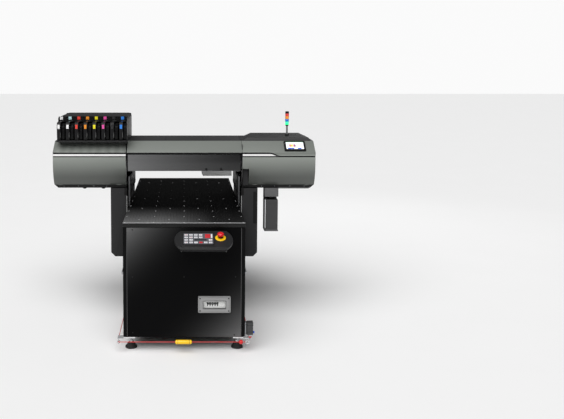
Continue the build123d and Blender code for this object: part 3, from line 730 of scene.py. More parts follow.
def make_finishes(settings):
    """Fill FINISH with every material and TREES with every node group."""
    paint, panel = tuple(settings.paint_color), tuple(settings.panel_color)
    FINISH["paint"] = housing_paint("housing_paint", paint)
    FINISH["fluted"] = housing_paint("fluted_paint", paint, flutes=True)
    FINISH["panel"] = panel_finish("panel_powder", panel)
    FINISH["door"] = panel_finish("door_powder", panel, painted_corner_sheen=True)
    FINISH["bed"] = bed_finish("bed_anodised", (0.0008, 0.0008, 0.0009))
    FINISH["window"] = smoked_finish("smoked_acrylic", (0.014, 0.014, 0.0143))
    FINISH["flap"] = clear_finish("clear_flap", (0.8, 0.82, 0.82))
    FINISH["rope"] = rope_finish("rope_sheath", linear((222, 46, 46)))
    FINISH["screen"] = screen_finish("screen_pale", linear((238, 240, 243)), settings.screen_glow)
    FINISH["screen_grey"] = screen_finish("screen_grey", linear((190, 192, 198)), settings.screen_glow)
    FINISH["display"] = screen_finish("display", linear((30, 34, 38)), 0.3)
    for make, table in ((painted, PAINTED), (moulded, MOULDED), (glossy, GLOSSY), (brushed, BRUSHED)):
        for key, (name, rgb, *rest) in table.items():
            FINISH[key] = make(name, rgb if max(rgb) < 1 else linear(rgb), *rest)
    for name, rgb in LABEL_COLORS.items():
        FINISH[name] = glossy(name, linear(rgb), 0.3)
    for name, rgb in SCREEN_COLORS.items():
        FINISH[name] = screen_finish(name, linear(rgb), settings.screen_glow * 0.8)
    for name, (rgb, glow) in LENSES.items():
        FINISH[name] = lens_finish(name, linear(rgb), glow)
    TREES["fastener"] = fastener_tree()
    TREES["louvre"] = louvre_tree()
    TREES["perforation"] = perforation_tree()


def dress(finish, *nodes):
    """Give CAD nodes whose own shape stays their finish."""
    for name in nodes:
        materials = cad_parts[name].data.materials
        materials.clear()
        materials.append(FINISH[finish])


# ---------------------------------------------------------------- shared section of the print unit

def back(depth):
    """Y of a depth behind the table's front edge."""
    return TABLE_FRONT + depth


# Heights and (y, z) corners that several pieces share, from the hinge line of the covers down to the legs.
HINGE_LINE = 1.244
COVER_EDGE = 1.242
STRIPE_LOW = 1.25
STRIPE_HIGH = 1.265
BAND_LOW = 1.277
BAND_TOP = (back(0.865), TOP)
TOP_BACK = (back(1.305), TOP)
REAR_EDGE = (REAR, 1.2)
FLOOR_Z = 1.02
BELLY_TOP = 1.18
NOTCH = (0.497, 1.151)
SHEET = 0.0025
TRAY_Z = 0.996
TRAY_END = 0.9745
TRAY_RIM = 1.0035
LEG_EDGE = 0.4405
LEG_SIDE = 0.568
CLAD_X = 0.4195
HANDLE_SLOT = (0.5495, 0.844)


def belly(steps=14):
    """The hollowed lower front of the print unit, from its floor up to the upright face."""
    low, high = Vector((back(0.805), FLOOR_Z)), Vector((FACE, BELLY_TOP))
    centre, radius = circle_through(low, Vector((back(0.762), 1.092)), high)
    start = atan2(low.y - centre.y, low.x - centre.x)
    end = atan2(high.y - centre.y, high.x - centre.x)
    turn = (end - start + pi) % (2 * pi) - pi
    angles = [start + turn * k / steps for k in range(steps + 1)]
    return [(centre.x + radius * cos(a), centre.y + radius * sin(a)) for a in angles]


def circle_through(a, b, c):
    """Centre and radius of the circle through three points."""
    d = 2 * (a.x * (b.y - c.y) + b.x * (c.y - a.y) + c.x * (a.y - b.y))
    x = (a.length_squared * (b.y - c.y) + b.length_squared * (c.y - a.y) + c.length_squared * (a.y - b.y)) / d
    y = (a.length_squared * (c.x - b.x) + b.length_squared * (a.x - c.x) + c.length_squared * (b.x - a.x)) / d
    return Vector((x, y)), (a - Vector((x, y))).length


def unit_outline(inset=0.0):
    """Closed cross-section of the print unit (y, z), with softened edges."""
    upper = [(FACE, BAND_LOW), BAND_TOP, TOP_BACK, REAR_EDGE, (REAR, FLOOR_Z)]
    soft = rounded([(FACE, 1.19)] + upper[:-1] + [(REAR, FLOOR_Z)], 0.006, 4)
    points = belly() + soft[1:]
    if not inset:
        return points
    return thick(points, inset)[len(points):][::-1]


def crown(shape, low, high, ease=0.0, lap=0.0045):
    """Slanted painted band from the face up to the flat top, with both edges turned in."""
    band = [(FACE + lap, BAND_LOW - 0.001), (FACE, BAND_LOW), BAND_TOP, (BAND_TOP[0] + 0.012, TOP)]
    shape.prism(thick(rounded(band, 0.004, 4), SHEET), "x", low + ease, high, 0, 0.0008, angle=50)


def s_curve(x):
    """Height of the band's lower edge on the right: it dips beside the touch screen."""
    t = min(1.0, max(0.0, (x - 0.66) / 0.08))
    return BAND_LOW - 0.025 * t * t * (3 - 2 * t)


def ribbon(low, high, left, right, steps=20):
    """Closed outline (x, z) between two curves."""
    xs = [left + (right - left) * k / steps for k in range(steps + 1)]
    return [(x, low(x)) for x in xs] + [(x, high(x)) for x in reversed(xs)]


# ---------------------------------------------------------------- pieces, one operator for each group

class PRINTER_OT_front_panels(bpy.types.Operator):
    """Hinged front panels of both housings, rolled to the hollow lower face"""
    bl_idname = "printer.front_panels"
    bl_label = "Front panels"

    def execute(self, context):
        for side, name in ((-1, "left_front_cover"), (1, "right_front_cover")):
            shape = Shape()
            section = belly() + [(FACE, 1.215), (FACE, COVER_EDGE)]
            inner, outer = SEAM + 0.001, HALF - 0.0005
            if side > 0:
                upright = [p for p in section if p[1] > NOTCH[1]]
                full = (NOTCH[0], outer)
                self.panel(shape, [self.cut_point(section, NOTCH[1])] + upright, inner, NOTCH[0] + 0.0002)
            else:
                full = (-outer, -inner)
            self.panel(shape, section, *full)
            self.edge_beads(shape, full)
            for x in ((full[0] + 0.048), (full[1] - 0.058)):
                self.lug(shape, x)
            shape.piece(name + "_panel", name, "cover_grey", "paint soot", [name])
        return {"FINISHED"}

    def cut_point(self, section, z):
        """Where the section crosses a height."""
        for one, two in zip(section[:-1], section[1:]):
            if one[1] <= z < two[1]:
                t = (z - one[1]) / (two[1] - one[1])
                return (one[0] + (two[0] - one[0]) * t, z)
        return section[0]

    def panel(self, shape, section, low, high):
        shape.prism(thick(section, 0.003), "x", low, high, 0, 0.0009, angle=40)

    def edge_beads(self, shape, span):
        """Rolled top edge, and a folded return down each end."""
        low, high = span
        y = FACE + 0.0028
        shape.box((low + 0.012, y, COVER_EDGE - 0.014),
                  (high - 0.012, y + 0.009, COVER_EDGE - 0.011), 1, 0.0005)
        for x in (low + 0.0035, high - 0.0065):
            section = belly(8)[1:] + [(FACE, 1.21)]
            points = thick([(p[0] + 0.003, p[1]) for p in section], 0.01)
            shape.prism(points, "x", x, x + 0.002, 1)

    def lug(self, shape, x):
        """Oval finger lug hanging from the panel's lower edge."""
        at = local((x, back(0.8045), FLOOR_Z + 0.003), (1, 0, 0), (0, -1, -0.4))
        shape.prism(oval(0.04, 0.012, 20), "z", 0.0, 0.004, 0, 0.0012, matrix=at)


class PRINTER_OT_housings(bpy.types.Operator):
    """Side housings: slanted painted band, dark top and rear, end caps and the wall around the doorway"""
    bl_idname = "printer.housings"
    bl_label = "Housings"

    def execute(self, context):
        for side, name in ((-1, "left_housing"), (1, "right_housing")):
            paint = "fluted" if side < 0 else "paint"
            finishes = f"{paint} top paint soot tower"
            shape = Shape()
            low, high = sorted((side * (SEAM + 0.0008), side * HALF))
            self.skins(shape, low, high)
            self.end_cap(shape, side)
            self.inner_wall(shape, side)
            if side > 0:
                self.dipped_lip(shape)
                self.raised_cover(shape)
            else:
                shape.box((low + 0.004, FACE + 0.0006, STRIPE_HIGH), (high, FACE + 0.004, BAND_LOW), 3)
            shape.piece(name + "_shell", "print_unit", "cover_grey", finishes, [name])
        return {"FINISHED"}

    def skins(self, shape, low, high):
        """Sheets folded along X: band, top, rear; the floor is left open towards the tray."""
        crown(shape, low, high)
        split = back(1.12)
        front_top = [(BAND_TOP[0] + 0.0145, TOP), (split - 0.0015, TOP)]
        shape.prism(thick(front_top, SHEET), "x", low, high, 1, 0.0008)
        rear_top = rounded([(split + 0.0015, TOP), TOP_BACK, REAR_EDGE, (REAR, FLOOR_Z)], 0.012, 5)
        shape.prism(thick(rear_top, SHEET), "x", low, high, 1, 0.0008, angle=50)
        shape.box((low, FACE + 0.006, HINGE_LINE - 0.02), (high, FACE + 0.01, BAND_LOW), 3)
        shape.box((low + 0.003, back(0.812), FLOOR_Z), (high - 0.003, REAR - 0.003, FLOOR_Z + 0.0025), 3)
        for x in (low + (high - low) * 0.33, low + (high - low) * 0.67):
            rib = thick([(split + 0.006, TOP + 0.0004), (TOP_BACK[0] - 0.006, TOP + 0.0004)], -0.0006)
            shape.prism(rib, "x", x - 0.0012, x + 0.0012, 3)

    def end_cap(self, shape, side):
        """Flat cap closing the housing's end, let in a little behind the skins' edges."""
        shape.prism(unit_outline(0.0006), "x", side * (HALF - 0.004),
                    side * (HALF - 0.0012), 2, 0.0009, angle=60)

    def inner_wall(self, shape, side):
        """Wall facing the bed, open where the beam and the carriage pass through."""
        near, far = side * (SEAM + 0.0008), side * (SEAM + 0.0033)
        door_front, door_back, door_low, door_high = back(0.818), back(1.243), 1.07, TOP - 0.02
        front = [p for p in belly() if p[1] > door_low]
        front = [(back(0.7805), door_low)] + front + [(FACE, 1.24), (FACE + 0.008, BAND_LOW)]
        front += [(back(0.8035), door_high), (door_front, door_high), (door_front, door_low)]
        shape.prism([(y + 0.004, z) for y, z in front], "x", near, far, 4)
        shape.box((near, back(0.809), FLOOR_Z), (far, REAR - 0.004, door_low), 4)
        shape.box((near, door_back, door_low), (far, back(1.305), door_high), 4)
        slope = [(back(1.305), door_low), (REAR - 0.004, door_low), (REAR - 0.004, 1.195),
                 (back(1.305), door_high)]
        shape.prism(slope, "x", near, far, 4)
        shape.box((near, BAND_TOP[0] + 0.004, door_high), (far, back(1.305), TOP - 0.003), 4)

    def dipped_lip(self, shape):
        """Painted lip whose lower edge follows an S, with the black joint under it."""
        lip = ribbon(s_curve, lambda x: BAND_LOW + 0.0006, 0.655, HALF, 28)
        shape.prism(lip, "y", FACE - 0.0002, FACE + 0.003, 2, 0.0006, angle=50)
        joint = ribbon(lambda x: s_curve(x) - 0.009, lambda x: s_curve(x) + 0.001, SEAM, HALF - 0.001, 40)
        shape.prism(joint, "y", FACE + 0.0012, FACE + 0.0045, 3)

    def raised_cover(self, shape):
        """Low hood over the maintenance side, with slanted ends."""
        base = [(0.452, back(0.874)), (0.988, back(0.874)), (0.988, back(1.303)), (0.498, back(1.303))]
        crown = [(0.494, back(0.886)), (0.972, back(0.886)), (0.952, back(1.288)), (0.552, back(1.288))]
        hood = bmesh.new()
        low = [hood.verts.new((x, y, TOP - 0.001)) for x, y in base]
        high = [hood.verts.new((x, y, TOP + 0.025)) for x, y in crown]
        hood.faces.new(low)
        hood.faces.new(high)
        for k in range(4):
            after = (k + 1) % 4
            hood.faces.new((low[k], low[after], high[after], high[k]))
        shape.add(hood, 1, 0.005, segments=4)
        for y in (back(1.02), back(1.15)):
            shape.box((0.6, y - 0.0008, TOP + 0.0246), (0.93, y + 0.0008, TOP + 0.0256), 3)


class PRINTER_OT_middle_cover(bpy.types.Operator):
    """Cover over the print gap between the housings, with its rear grille"""
    bl_idname = "printer.middle_cover"
    bl_label = "Middle cover"

    def execute(self, context):
        shape = Shape()
        reach = SEAM - 0.001
        crown(shape, -reach, reach, 0.006, 0.006)
        top = [(BAND_TOP[0] + 0.0145, TOP), TOP_BACK, REAR_EDGE, (REAR, 1.132)]
        shape.prism(thick(rounded(top, 0.012, 5), SHEET), "x", -reach, reach, 1, 0.0008, angle=50)
        shape.box((-reach, FACE + 0.006, STRIPE_HIGH + 0.001), (reach, FACE + 0.01, BAND_LOW), 2)
        shape.box((-reach, FACE + 0.009, BAND_LOW - 0.003), (reach, back(0.86), BAND_LOW), 2)
        for x in (-0.148, 0.148):
            shape.box((x - 0.0012, back(0.9), TOP - 0.0002), (x + 0.0012, back(1.29), TOP + 0.0006), 2)
        shape.piece("middle_cover_shell", "print_unit", "cover_grey", "paint top soot", ["center_cover"])
        points = [(x, REAR + 0.0015, 1.187) for x in (-0.3, -0.1, 0.1, 0.3)]
        values = {"Width": 0.15, "Pitch": 0.008, "Count": 6, "Blade": 0.006, "Steel": FINISH["soot"]}
        grown("rear_grille", TREES["louvre"], points, values, "print_unit")
        return {"FINISHED"}


class PRINTER_OT_trim(bpy.types.Operator):
    """White stripe across the left housing and the tapering one on the right"""
    bl_idname = "printer.trim"
    bl_label = "Trim stripes"

    def execute(self, context):
        shape = Shape()
        shape.box((-HALF + 0.003, FACE - 0.002, STRIPE_LOW),
                  (-SEAM - 0.001, FACE + 0.004, STRIPE_HIGH), 0, 0.0007)
        wedge = ribbon(lambda x: STRIPE_LOW + 0.001, lambda x: max(STRIPE_LOW + 0.0014, s_curve(x) - 0.0115),
                       SEAM + 0.003, 0.722, 30)
        shape.prism(wedge, "y", FACE - 0.0014, FACE + 0.004, 0)
        shape.piece("trim", "print_unit", "trim_white", "stripe", ["trim_stripes"])
        return {"FINISHED"}


class PRINTER_OT_window(bpy.types.Operator):
    """Smoked window over the print gap, with its lip, two grips and hinge knuckles"""
    bl_idname = "printer.window"
    bl_label = "Window"

    def execute(self, context):
        shape = Shape()
        low, high = WINDOW_LOW, WINDOW_HIGH
        reach = high.x
        top = high.z - 0.0035
        section = rounded([(FACE + 0.02, low.z), (FACE + 0.0015, low.z), (FACE + 0.0003, low.z + 0.006),
                           (FACE, top)], 0.004, 4)
        shape.prism(thick(section, 0.0045), "x", -reach, reach, 0, 0.0008, angle=50)
        # Pale strip along the lower edge: a painted highlight.
        shape.box((-reach + 0.001, FACE - 0.0006, low.z + 0.0005),
                  (reach - 0.001, FACE + 0.003, low.z + 0.0035), 2, 0.0004)
        for k in range(9):
            x = (k - 4) * 0.1
            shape.lathe([(0, -0.02), (0.0024, -0.02), (0.0026, -0.0195), (0.0026, 0.0195), (0.0024, 0.02),
                         (0, 0.02)],
                        (x, FACE + 0.003, high.z - 0.003), (1, 0, 0), 1, 12)
        for x in (0.17, 0.284):
            shape.lathe([(0, 0.0), (0.0085, 0.0), (0.009, 0.0006), (0.009, 0.0045), (0.0078, 0.0062),
                         (0.006, 0.0068), (0, 0.0068)], (x, FACE + 0.0005, low.z + 0.015), (0, -1, 0), 1, 28)
        shape.piece("window_sheet", "window", "window_smoked", "window soot window_edge", ["window"])
        return {"FINISHED"}


class PRINTER_OT_ink_tower(bpy.types.Operator):
    """Ink tower: hood, eight sliding drawers with grips, latches and coloured key labels"""
    bl_idname = "printer.ink_tower"
    bl_label = "Ink tower"
    lower = ("label_white", "label_white", "label_red", "label_orange", "label_yellow", "label_pink",
             "label_black", "label_blue")
    upper = ("label_white", "label_clear", "label_red", "label_orange", "label_yellow", "label_pink",
             "label_black", "label_blue")

    def execute(self, context):
        shell_low, shell_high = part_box("ink_tower_shell")
        self.hood(shell_low, shell_high)
        for index in range(8):
            self.drawer(index, *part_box(f"ink_drawer_{index + 1}"))
        return {"FINISHED"}

    def hood(self, low, high):
        """Base plate, cheeks, ribs between the drawers and the rounded roof."""
        front, rear = back(0.88), high.y
        shape = Shape()
        floor = rounded([(low.x, back(0.757)), (high.x, back(0.757)), (high.x, rear), (low.x, rear)], 0.01, 5,
                        True)
        shape.prism(floor, "z", TOP + 0.0008, TOP + 0.0135, 0, 0.0012)
        roof_z = high.z
        outline = rounded([(low.x, TOP + 0.012), (low.x, roof_z - 0.01), (low.x + 0.03, roof_z),
                           (high.x - 0.018, roof_z), (high.x, roof_z - 0.018), (high.x, TOP + 0.012)], 0.012,
                          5)
        arch = thick(outline, 0.004)
        shape.prism(arch, "y", front - 0.004, rear, 0, 0.001, angle=50)
        self.cheek(shape, high.x, front)
        shape.box((low.x + 0.003, rear - 0.004, TOP + 0.012),
                  (high.x - 0.003, rear - 0.001, roof_z - 0.003), 0)
        pitch = (high.x - low.x) / 8
        for k in range(1, 8):
            x = low.x + k * pitch
            shape.box((x - 0.0016, front + 0.002, TOP + 0.012), (x + 0.0016, rear - 0.003, roof_z - 0.003), 1)
        shape.box((low.x + 0.003, front + 0.004, roof_z - 0.046),
                  (high.x - 0.003, front + 0.0075, roof_z - 0.004), 1)
        for k in range(len(self.upper)):
            x = low.x + (k + 0.5) * pitch - 0.009
            shape.box((x - 0.0115, front - 0.0036, roof_z - 0.028),
                      (x + 0.0115, front + 0.0045, roof_z - 0.001), 2 + k, 0.0008)
            hook = [(front - 0.01, roof_z - 0.04), (front + 0.004, roof_z - 0.04),
                    (front + 0.004, roof_z - 0.031), (front - 0.006, roof_z - 0.034)]
            shape.prism(hook, "x", x - 0.009, x + 0.02, 1, 0.0008)
        shape.piece("ink_hood", "print_unit", "tower_black",
                    " ".join(("tower", "drawer") + self.upper), ["ink_tower_shell"])
        points = [(low.x + (k + 0.5) * pitch + 0.02, front + 0.0008, roof_z - 0.014) for k in range(8)]
        fasteners("ink_hood_screws", points, FACING_FRONT, 0.0028, 0.0016, "print_unit",
                  "dark_metal")

    def cheek(self, shape, x, front):
        """Right side wing reaching forward along the drawers, with a rounded nose."""
        wing = rounded([(front, TOP + 0.013), (front - 0.112, TOP + 0.013), (front - 0.112, TOP + 0.15),
                        (front - 0.07, TOP + 0.176), (front, TOP + 0.186)], 0.01, 5)
        shape.prism(wing, "x", x - 0.004, x - 0.0002, 0, 0.0012, angle=50)

    def drawer(self, index, low, high):
        """One ink drawer: chassis, front with a vertical grip bar, latch, seams and its label."""
        name = f"ink_drawer_{index + 1}"
        front, seat = low.y, back(0.88)
        left, right = low.x, high.x
        middle = (left + right) / 2
        bar_left, bar_right = middle - 0.0255, middle + 0.003
        shape = Shape()
        shape.box((left + 0.0015, seat, low.z + 0.002), (right - 0.0015, high.y, low.z + 0.062), 1, 0.001)
        for x in (left + 0.0015, right - 0.0035):
            shape.box((x, seat, low.z + 0.06), (x + 0.002, high.y, high.z - 0.022), 1)
        shape.box((left + 0.001, seat - 0.03, low.z + 0.001),
                  (right - 0.001, seat + 0.001, high.z - 0.022), 1, 0.0015)
        nose = rounded([(seat - 0.02, low.z + 0.001), (front + 0.012, low.z + 0.001),
                        (front + 0.001, low.z + 0.02), (front, high.z - 0.04),
                        (front + 0.012, high.z - 0.008), (seat - 0.04, high.z - 0.002),
                        (seat - 0.02, high.z - 0.01)], 0.009, 5, True)
        shape.prism(nose, "x", bar_left, bar_right, 0, 0.0032, segments=3, angle=50)
        recess = rounded([(seat - 0.012, low.z + 0.001), (front + 0.026, low.z + 0.001),
                          (front + 0.022, low.z + 0.03), (front + 0.03, high.z - 0.04),
                          (seat - 0.016, high.z - 0.018)],
                         0.006, 4, True)
        shape.prism(recess, "x", middle + 0.0065, right - 0.0008, 1, 0.0024, segments=3, angle=50)
        shape.box((middle - 0.0012, front + 0.05, low.z + 0.004),
                  (middle + 0.007, seat - 0.01, high.z - 0.03), 2)
        # Pale strip down the grip bar's right edge: a painted highlight.
        shape.box((bar_right - 0.0038, front + 0.0006, low.z + 0.022),
                  (bar_right - 0.0016, front + 0.006, high.z - 0.046), 4, 0.0007)
        middle_bar = (bar_left + bar_right) / 2
        label_z = high.z - 0.04
        shape.box((middle_bar - 0.0088, front - 0.0004, label_z - 0.0155),
                  (middle_bar + 0.0088, front + 0.004, label_z + 0.0155), 3, 0.0008)
        shape.box((middle_bar - 0.006, front + 0.0002, label_z - 0.025),
                  (middle_bar + 0.006, front + 0.004, label_z - 0.0185), 2, 0.0006)
        for step in range(3):
            z = low.z + 0.034 + step * 0.018
            shape.box((middle + 0.011, front + 0.0215, z), (right - 0.005, front + 0.026, z + 0.0022), 2)
        shape.lathe([(0, 0), (0.0042, 0), (0.0045, 0.0006), (0.0045, 0.003), (0.0036, 0.004), (0, 0.004)],
                    (middle + 0.018, front + 0.029, high.z - 0.052), (0, -1, 0), 2, 16)
        shape.piece(name + "_unit", name, "drawer_black",
                    f"drawer_bar drawer soot {self.lower[index]} bar_edge", [name])


class PRINTER_OT_top_fittings(bpy.types.Operator):
    """Signal tower and the tilted touch screen"""
    bl_idname = "printer.top_fittings"
    bl_label = "Signal tower and touch screen"

    def execute(self, context):
        self.tower(*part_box("signal_tower"))
        self.screen()
        return {"FINISHED"}

    def tower(self, low, high):
        """Signal tower: base, pole, four ribbed lenses and a cap."""
        x, y = (low.x + high.x) / 2, (low.y + high.y) / 2
        shape = Shape()
        base = [(0, 0), (0.026, 0), (0.026, 0.01), (0.0235, 0.0125), (0.016, 0.0135),
                (0.0145, 0.028), (0, 0.028)]
        shape.lathe(base, (x, y, TOP + 0.008), material=0)
        pole = [(0, 0), (0.0072, 0), (0.0074, 0.001), (0.0074, 0.089), (0, 0.089)]
        shape.lathe(pole, (x, y, TOP + 0.034), material=1, steps=24)
        bottom = high.z - 0.116
        shape.lathe([(0, 0), (0.0075, 0), (0.0138, 0.006), (0.0138, 0.012), (0, 0.012)],
                    (x, y, bottom - 0.002), material=0)
        for level in range(4):
            ring = [(0, 0), (0.014, 0), (0.0148, 0.0012), (0.0148, 0.0205), (0.014, 0.0217), (0, 0.0217)]
            shape.lathe(ring, (x, y, bottom + 0.0095 + level * 0.0222), material=2 + level)
        cap = [(0, 0), (0.0146, 0), (0.015, 0.001), (0.0148, 0.014), (0.012, 0.0172), (0, 0.0176)]
        shape.lathe(cap, (x, y, high.z - 0.0178), material=0)
        shape.piece("signal_lights", "print_unit", "signal_lens",
                    "soot pole lens_green lens_blue lens_amber lens_red", ["signal_tower"])
        points = [(x + 0.02 * cos(a), y + 0.02 * sin(a), TOP + 0.0203) for a in (0.5, 2.6, 4.7)]
        fasteners("tower_screws", points, FACING_UP, 0.0022, 0.0012, "print_unit",
                  "dark_metal")

    def screen(self):
        """Touch screen on the slanted band, with plain coloured patches for its page."""
        low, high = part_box("touch_screen")
        slope = atan2(TOP - BAND_LOW, BAND_TOP[0] - FACE)
        centre = ((low.x + high.x) / 2, (FACE + BAND_TOP[0]) / 2, (BAND_LOW + TOP) / 2)
        at = local(centre, (1, 0, 0), (0, -sin(slope), cos(slope)))
        shape = Shape()
        shape.prism(patch(0.1635, 0.1135, 0.006), "z", -0.001, 0.0125, 0, 0.0022,
                    segments=3, matrix=at, angle=50)
        shape.prism(patch(0.155, 0.105, 0.003, 3), "z", 0.0118, 0.0128, 0, matrix=at)
        self.tile(shape, at, (0.0, 0.0, 0.134, 0.084), 1, 0.0131)
        self.tile(shape, at, (-0.006, 0.008, 0.11, 0.052), 2)
        for x, material in ((-0.038, 4), (-0.028, 5), (-0.018, 6), (-0.008, 7), (0.001, 10)):
            self.tile(shape, at, (x, -0.002, 0.0086, 0.03), material, 0.0136)
        for x, width in ((-0.032, 0.05), (0.033, 0.028)):
            self.tile(shape, at, (x, -0.035, width, 0.012), 8, 0.0136)
        for k in range(4):
            self.tile(shape, at, (0.059, 0.028 - k * 0.017, 0.0085, 0.01), 3, 0.0136)
        for k in range(3):
            self.tile(shape, at, (0.03, 0.018 - k * 0.012, 0.03, 0.0022), 3, 0.0136)
        self.tile(shape, at, (0.0, 0.0395, 0.134, 0.0035), 9, 0.0136)
        shape.piece("touch_panel", "print_unit", "screen_glass",
                    "soot screen screen_white screen_grey ui_red ui_orange ui_yellow ui_pink "
                    "ui_blue ui_green ui_dark",
                    ["touch_screen"])

    def tile(self, shape, at, spot, material, top=0.0133):
        """One patch of the page: centre, width and height on the glass."""
        x, y, width, height = spot
        shape.prism(patch(width, height, 0.0008, 2, (x, y)), "z", 0.0122, top, material, matrix=at)


class PRINTER_OT_carriage(bpy.types.Operator):
    """Print carriage with its bevelled hood, heads and lamps"""
    bl_idname = "printer.carriage"
    bl_label = "Carriage"

    def execute(self, context):
        low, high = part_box("carriage_body")
        shape = Shape()
        front = low.y
        body = [(low.x, high.z - 0.004), (low.x, low.z + 0.016), (low.x + 0.011, low.z), (high.x, low.z),
                (high.x, high.z - 0.004)]
        body = rounded(body, 0.003, 3)
        shape.prism(body, "y", front, front + 0.0035, 0, 0.0012, angle=40)
        shape.prism(thick(body, -0.0035)[::-1], "y", front + 0.002, back(1.06), 0, 0.0006, angle=50)
        shape.box((low.x + 0.002, back(1.058), low.z + 0.01),
                  (high.x - 0.002, back(1.0615), high.z - 0.004), 0)
        shape.box((low.x + 0.001, front + 0.001, high.z - 0.006),
                  (high.x - 0.001, back(1.061), high.z - 0.002), 0, 0.001)
        shape.box((low.x + 0.016, front - 0.0004, low.z + 0.006),
                  (high.x - 0.004, front + 0.001, low.z + 0.0075), 1)
        shape.box((low.x + 0.01, front - 0.0012, low.z + 0.0005),
                  (high.x - 0.001, front + 0.001, low.z + 0.005), 2, 0.0006)
        for z in (1.16, 1.3):
            block_low = (low.x + 0.03, back(1.062), z - 0.022)
            block_high = (high.x - 0.03, back(1.0745), min(z + 0.022, high.z))
            shape.box(block_low, block_high, 1, 0.001)
        shape.piece("carriage_hood", "carriage", "carriage_grey",
                    "carriage soot carriage_lip", ["carriage_body"])
        points = [(x, front, z) for x in (low.x + 0.02, high.x - 0.02) for z in (low.z + 0.04, high.z - 0.03)]
        fasteners("carriage_screws", points, FACING_FRONT, 0.0035, 0.002, "carriage")
        self.heads()
        return {"FINISHED"}

    def heads(self):
        """Three print heads with nozzle plates, and two curing lamps."""
        carriage_low, carriage_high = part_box("carriage_body")
        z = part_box("print_heads")[0].z
        shape = Shape()
        for k in range(3):
            x = carriage_low.x + 0.036 + k * 0.058
            shape.box((x, back(0.87), z + 0.002), (x + 0.044, back(1.01), z + 0.0895), 0, 0.0015)
            shape.box((x + 0.003, back(0.874), z), (x + 0.041, back(1.006), z + 0.0022), 1, 0.0004)
            for row in (0.013, 0.031):
                shape.box((x + row - 0.0007, back(0.88), z - 0.0001),
                          (x + row + 0.0007, back(1.000), z + 0.001), 2)
        for x in (carriage_low.x + 0.006, carriage_high.x - 0.036):
            shape.box((x, back(0.86), z + 0.0095), (x + 0.03, back(1.03), z + 0.109), 2, 0.002)
            shape.box((x + 0.004, back(0.868), z + 0.0085), (x + 0.026, back(1.022), z + 0.01), 3)
        shape.piece("heads_and_lamps", "carriage", "head_steel", "rail plate soot lens_blue", ["print_heads"])


